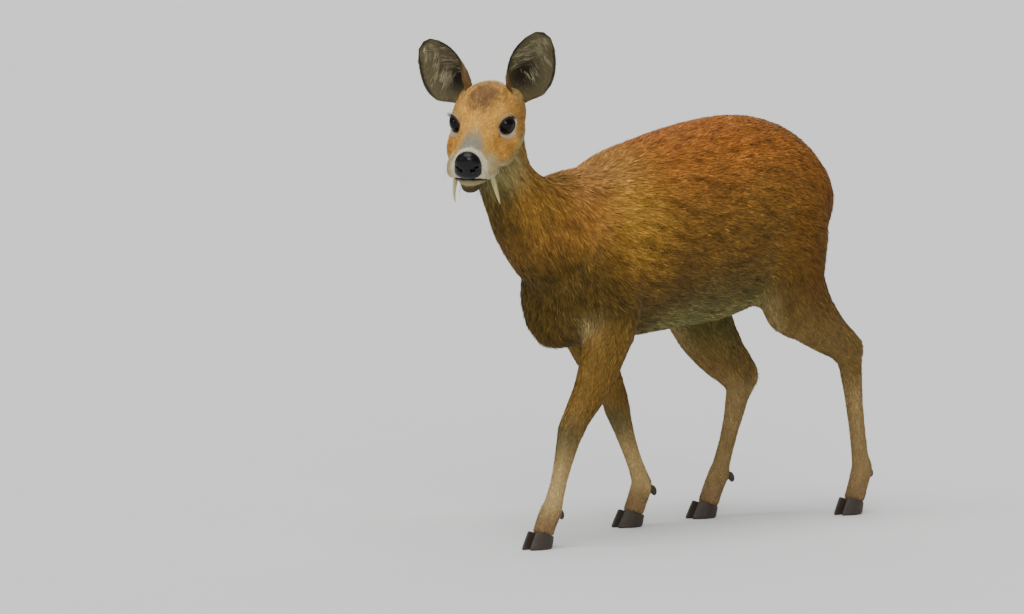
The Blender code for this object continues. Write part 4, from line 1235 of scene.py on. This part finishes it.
def earSpots(layer, facts, rng):
    # where the hairs of a layer root, as share and across
    count = facts["count"]
    share = rng.uniform(*facts["from"], count)
    if layer == "Rim":
        return share, np.sign(rng.uniform(-1, 1, count)) * rng.uniform(0.955, 1.0, count)
    if layer == "Locks":  # along both margins of the cup, many hairs to a lock
        across = np.where(np.arange(count) % 2, 1.0, -1.0) * rng.uniform(0.22, 0.80, count)
        share, across = np.repeat(share, 30), np.repeat(across, 30)
        return (np.clip(share + rng.normal(0, 0.030, len(share)), 0.1, 0.94),
                np.clip(across + rng.normal(0, 0.080, len(share)), -0.9, 0.9))
    return share, rng.uniform(-1, 1, count)


def earGround(share, across, inside):
    # places on the wall, the ways up and round it, and the way off it
    level = np.zeros(len(share))
    here = earPlaces(share, across, level)
    up = unit(earPlaces(share + 0.01, across, level) - here)
    over = unit(earPlaces(share, across + 0.02, level) - here)
    off = unit(np.cross(up, over))
    intoCup = earPlaces(share, across, level + 0.002) - here
    off *= np.sign((off * intoCup).sum(1, keepdims=True))
    return here, up, over, off if inside else -off


def growEarHair(name, layer, facts, side, rng):
    turn = np.array(earFrame(side))
    share, across = earSpots(layer, facts, rng)
    count, inside = len(share), facts["inside"]
    here, up, over, normal = earGround(share, across, inside)
    thick = earSizes["wall"] * (0.55 + 0.75 * (1 - share)) / 2
    roots = here + normal * (thick * 0.8)[:, None]
    along, byPlace, byHalf = facts["lean"]
    flow = up * along + over * (byPlace * across + byHalf * np.sign(across))[:, None]
    flow = unit(flow + rng.normal(0, 0.10, (count, 3)))
    tufts = {
        "roots": moved(roots, turn), "normals": normal @ turn[:3, :3].T, "flows": flow @ turn[:3, :3].T,
        "lengths": rng.uniform(*facts["lengths"], count) * (1 - 0.62 * step(share, 0.78, 0.98)),
        "widths": facts["width"] * np.clip(rng.normal(1, 0.2, count), 0.5, 1.6),
        "lifts": facts["lift"] * np.clip(rng.normal(1, 0.35, count), 0.2, 2.2),
        "tones": paleTone(share, across, side) if layer == "Locks" else earTone(share, across, inside),
        "places": np.stack([0.02 + 0.46 * np.clip(share, 0, 1) + (0.5 if inside else 0.0),
                            0.5 + 0.46 * across], axis=1),
    }
    finish = furFinish(name + layer + "Finish", 320.0, 0.6, 0.0)
    growTufts(name + layer, tufts, finish, "ear_coat", rng, facts["dark"])


def dressEar(side, word):
    work = earShell(side)
    points = pointsOf(work.verts)
    name = "ear" + word.capitalize()
    piece = finished(name, work, furFinish(name + "Skin", 320.0, 0.66, 0.0004), ("ear_" + word,))
    x, y, z = moved(points, np.linalg.inv(np.array(earFrame(side)))).T
    share = np.clip(z / earSizes["length"], 0, 1.01)
    radius, reach, back = earCup(share)
    across = np.clip(np.arctan2(y, back + radius - x) / reach, -1, 1)
    inside = np.hypot(x - (back + radius), y) < radius
    tone = np.where(inside[:, None], earTone(share, across, True), earTone(share, across, False))
    writeColour(piece.data, tone * 0.8)
    rng = np.random.default_rng(300 + side)
    for layer, facts in earHair.items():
        growEarHair(name, layer, facts, side, rng)


for earSide, earWord in sides:
    dressEar(earSide, earWord)
print("ears dressed")

# Eyes, lids and lashes


def eyeFinish():
    paint = Paint("eyeGloss", Roughness=0.12, Coat_Weight=0.12, Coat_Roughness=0.02, Specular_IOR_Level=0.12)
    wide = paint.add("ShaderNodeSeparateXYZ", {}, {0: paint.read("gaze", "Vector")})
    high = Wire(paint, wide.socket.node.outputs[1])
    pupil = paint.smoothShare((wide * 2.0) ** 2.0 + (high * 3.3) ** 2.0, 0.85, 1.15)
    iris = paint.tint(paint.noise(paint.place(), 900.0, 4.0), rgba((10, 6, 4)), rgba((26, 15, 9)))
    iris = paint.tint(paint.smoothShare(wide ** 2.0 + high ** 2.0, 0.45, 0.80), iris, rgba((7, 5, 4)))
    paint.feed("Base Color", paint.tint(pupil, rgba((2, 2, 3)), iris))
    return paint.material


def buildEye(side, word):
    turn, radius = eyeFrames[side], eyeSizes["radius"]
    work = bmesh.new()
    bmesh.ops.create_uvsphere(work, u_segments=56, v_segments=36, radius=radius)
    gaze = []
    for vert in work.verts:
        here = vert.co.normalized()
        gaze.append(here)
        angle = math.acos(max(-1.0, min(1.0, here.z)))
        vert.co = turn @ (here * radius * (1.0 + eyeSizes["cornea"] * math.exp(-(angle / 0.60) ** 4)))
    bmesh.ops.recalc_face_normals(work, faces=work.faces)
    piece = finished("eye" + word.capitalize(), work, eyePaint, ("eye_" + word,))
    layer = piece.data.attributes.new("gaze", "FLOAT_VECTOR", "POINT")
    layer.data.foreach_set("vector", np.array(gaze, np.float32).ravel())


def lidFinish():
    paint = Paint("lidSkin", Coat_Weight=0.15, Coat_Roughness=0.25, Specular_IOR_Level=0.30)
    grain = paint.noise(paint.place(), 1400.0)
    colour = paint.tint(grain, rgba((13, 9, 8)), rgba((34, 25, 21)))
    return paint.surface(colour, grain, (0.38, 0.60), grain, 0.0002)


def buildLid(side, word):
    # dark rim of the lids, fuller above, drawn out to the tear corner
    turn, radius = eyeFrames[side], eyeSizes["radius"]

    def place(u, v):
        loop, ring = 2 * math.pi * u, 2 * math.pi * v
        wide, high = math.cos(loop), math.sin(loop)
        drawn = 0.0030 * max(0.0, wide) ** 8
        x = (eyeSizes["openWide"] + 0.0004) * wide + drawn
        y = (eyeSizes["openHigh"] + 0.0004) * high - 0.6 * drawn
        flat = min(math.hypot(x, y), radius * 0.985)
        z = math.sqrt(radius ** 2 - flat ** 2) + 0.0002 - drawn * 0.55
        out = Vector((wide, high, 0.0)).normalized()
        thick = 0.0010 + 0.0004 * max(0.0, high)
        lift = out * math.cos(ring) * thick + Vector((0, 0, 1)) * math.sin(ring) * thick
        return turn @ (Vector((x, y, z)) + lift)

    finished("lid" + word.capitalize(), shapedGrid(72, 12, place), lidPaint)


lashSizes = {
    "count": 80, "long": 0.0075, "wide": 0.00045, "lift": 0.85, "colour": (20, 15, 12),
    "from": math.radians(15), "to": math.radians(165),
}
whiskerSizes = {
    "count": 64, "long": (0.010, 0.022), "wide": 0.00035, "lift": (0.5, 1.0), "colour": (58, 46, 34),
}


def mapStrip(place, count):
    # a narrow upright strip of the map
    return np.stack([np.full(count, place), 0.52 + 0.03 * np.arange(count) / count], axis=1)


def growLashes(side, word, rng):
    # a fringe of dark lashes along the upper lid, longest at its outer half
    count, turn = lashSizes["count"], np.array(eyeFrames[side])
    angle = np.linspace(lashSizes["from"], lashSizes["to"], count) + rng.normal(0, 0.02, count)
    x = (eyeSizes["openWide"] + 0.0008) * np.cos(angle)
    y = (eyeSizes["openHigh"] + 0.0010) * np.sin(angle)
    z = np.sqrt(np.maximum(0.0, eyeSizes["radius"] ** 2 - x ** 2 - y ** 2)) + 0.0011
    out = np.stack([np.cos(angle), np.sin(angle), np.zeros(count)], axis=1)
    fuller = 0.55 + 0.45 * np.clip((angle - 0.5) / 1.4, 0, 1)
    tufts = {
        "roots": moved(np.stack([x, y, z], axis=1), turn), "normals": turn[:3, 2],
        "flows": out @ turn[:3, :3].T, "lengths": lashSizes["long"] * fuller * rng.uniform(0.8, 1.15, count),
        "widths": lashSizes["wide"], "lifts": lashSizes["lift"], "tones": linear(lashSizes["colour"]),
        "places": mapStrip(0.17 + 0.01 * side, count),
    }
    growTufts("lashes" + word.capitalize(), tufts, lashFinish, "face_coat", rng, 0.0)


def growWhiskers(rng):
    # sparse stiff hairs on the upper lip and chin
    ahead, side, up = inHead(fields["points"]).T
    onMuzzle = (fields["labels"] == partLabels["head"]) & (ahead > 0.058) & (ahead < 0.092)
    pool = np.where(onMuzzle & (up < -0.012) & (np.abs(side) > 0.008) & (fields["bare"] < 0.3))[0]
    count = whiskerSizes["count"]
    chosen = rng.choice(pool, count, replace=False)
    tufts = {
        "roots": fields["points"][chosen], "normals": fields["normals"][chosen],
        "flows": np.array([0.0, 0.25, -1.0]) + rng.normal(0, 0.25, (count, 3)),
        "lengths": rng.uniform(*whiskerSizes["long"], count), "widths": whiskerSizes["wide"],
        "lifts": rng.uniform(*whiskerSizes["lift"], count), "tones": linear(whiskerSizes["colour"]),
        "places": mapStrip(0.21, count),
    }
    growTufts("whiskers", tufts, lashFinish, "face_coat", rng, 0.0)


eyePaint, lidPaint = eyeFinish(), lidFinish()
lashFinish = furFinish("lashFinish", 300.0, 0.5, 0.0)
for eyeSide, eyeWord in sides:
    buildEye(eyeSide, eyeWord)
    buildLid(eyeSide, eyeWord)
    growLashes(eyeSide, eyeWord, np.random.default_rng(500 + eyeSide))
growWhiskers(np.random.default_rng(520))
print("eyes set")

# Nose, tusks, hooves and dewclaws


def noseFinish():
    paint = Paint("wetNose", Coat_Weight=0.32, Coat_Roughness=0.14, Specular_IOR_Level=0.14)
    where = paint.place()
    cells = paint.add("ShaderNodeTexVoronoi", {"feature": "SMOOTH_F1"}, {"Vector": where, "Scale": 700.0})
    mottle = paint.noise(where, 240.0)
    colour = paint.tint(mottle, rgba((3, 3, 4)), rgba((10, 10, 11)))
    return paint.surface(colour, mottle, (0.30, 0.52), cells, 0.0005, 0.7)


noseSizes = {"voxel": 0.0008, "rounds": 4, "raised": 0.0002, "broader": 0.30, "forward": 0.0016}


def buildNose():
    work = remeshed("nosePad", merged("nose"), noseSizes["voxel"])
    soften(work, noseSizes["rounds"])
    swell(work, noseSizes["raised"])
    toHead = headFrame.inverted()
    for vert in work.verts:
        # the pad is broad below, where it meets the lip
        here = toHead @ vert.co
        low = min(1.0, max(0.0, (-0.0110 - here.z) / 0.0130))
        low = low * low * (3 - 2 * low)
        front = min(1.0, max(0.0, (here.x - 0.0870) / 0.0060))
        here.x += noseSizes["forward"] * low * front
        here.y *= 1 + noseSizes["broader"] * low
        vert.co = headFrame @ here
    finished("nosePad", work, noseFinish(), ("nose",))


buildNose()

tuskSizes = {
    "path": [(0.0650, 0.0215, -0.0330), (0.0668, 0.0240, -0.0440), (0.0675, 0.0262, -0.0550),
             (0.0668, 0.0278, -0.0655), (0.0645, 0.0286, -0.0745), (0.0610, 0.0286, -0.0820)],
    "root": 0.0038, "taper": 0.93, "bow": 1.6, "foreAft": 1.25, "across": 0.8,
}


def ivoryFinish():
    paint = Paint("ivory", Specular_IOR_Level=0.5, Coat_Weight=0.25, Coat_Roughness=0.2)
    where = paint.place()
    stretched = paint.add("ShaderNodeMapping", {"vector_type": "TEXTURE"},
                          {"Vector": where, "Scale": (1.0, 1.0, 14.0)})
    lines, cloud = paint.noise(stretched, 1800.0), paint.noise(where, 160.0)
    base = paint.tint(cloud, rgba((190, 178, 96)), rgba((216, 208, 138)))
    colour = paint.tint(paint.span(lines, 0.0, 0.5), base, rgba((140, 116, 70)))
    return paint.surface(colour, lines, (0.30, 0.48), lines, 0.0002)


def buildTusk(side, word):
    path = [(x, side * y, z) for x, y, z in tuskSizes["path"]]

    def place(u, v):
        share, loop = v ** 0.9, 2 * math.pi * u
        way = (pathThrough(path, share + 0.02) - pathThrough(path, share - 0.02)).normalized()
        fore = (Vector((1, 0, 0)) - way * way.x).normalized()
        size = tuskSizes["root"] * (1 - tuskSizes["taper"] * share ** tuskSizes["bow"])
        if v > 0.999:
            size = 0.0  # the point
        offset = fore * math.cos(loop) * size * tuskSizes["foreAft"]
        offset += way.cross(fore) * math.sin(loop) * size * tuskSizes["across"]
        return headFrame @ (pathThrough(path, share) + offset)

    finished("tusk" + word.capitalize(), shapedGrid(28, 48, place), ivoryPaint, ("tusk_" + word,))


ivoryPaint = ivoryFinish()
for tuskSide, tuskWord in sides:
    buildTusk(tuskSide, tuskWord)


def hornFinish():
    paint = Paint("hoofHorn", Specular_IOR_Level=0.45)
    where = paint.place()
    rings = paint.add("ShaderNodeTexWave", {"wave_type": "BANDS", "bands_direction": "Z"}, {
        "Vector": where, "Scale": 190.0, "Distortion": 2.4, "Detail": 2.0, "Detail Scale": 1.6})
    scuffs = paint.noise(where, 220.0, 5.0, 0.7)
    base = paint.tint(scuffs, rgba((34, 28, 25)), rgba((82, 68, 56)))
    colour = paint.tint(paint.span(rings, 0.0, 0.35), base, rgba((24, 20, 18)))
    return paint.surface(colour, scuffs, (0.42, 0.72), rings * 0.5 + scuffs * 0.5, 0.0004, 0.8)


hornPaint = hornFinish()
hornSizes = {"hoof": 0.0011, "dewclaw": 0.0007, "rounds": 3, "sole": 0.00005}


def buildHorn(node):
    kind, *place = node.split("_")
    work = remeshed(node, merged(node), hornSizes[kind])
    soften(work, hornSizes["rounds"])
    for vert in work.verts:
        vert.co.z = max(vert.co.z, hornSizes["sole"])
    finished(kind + "".join(word.capitalize() for word in place), work, hornPaint, (node,))


for nodeName in sorted(nodes):
    if nodeName.split("_")[0] in ("hoof", "dewclaw"):
        buildHorn(nodeName)
print("nose, tusks and hooves made")


def floorFinish():
    paint = Paint("paleFloor", Roughness=0.9)
    cloud = paint.noise(paint.place(), 1.2)
    paint.feed("Base Color", paint.tint(cloud, (0.80, 0.80, 0.79, 1.0), (0.83, 0.83, 0.82, 1.0)))
    return paint.material


def layFloor():
    work = bmesh.new()
    bmesh.ops.create_grid(work, x_segments=8, y_segments=8, size=60.0)
    mesh = meshOf("floor", work)
    mesh.materials.append(floorFinish())
    floor = put("floor", mesh, None)


layFloor()
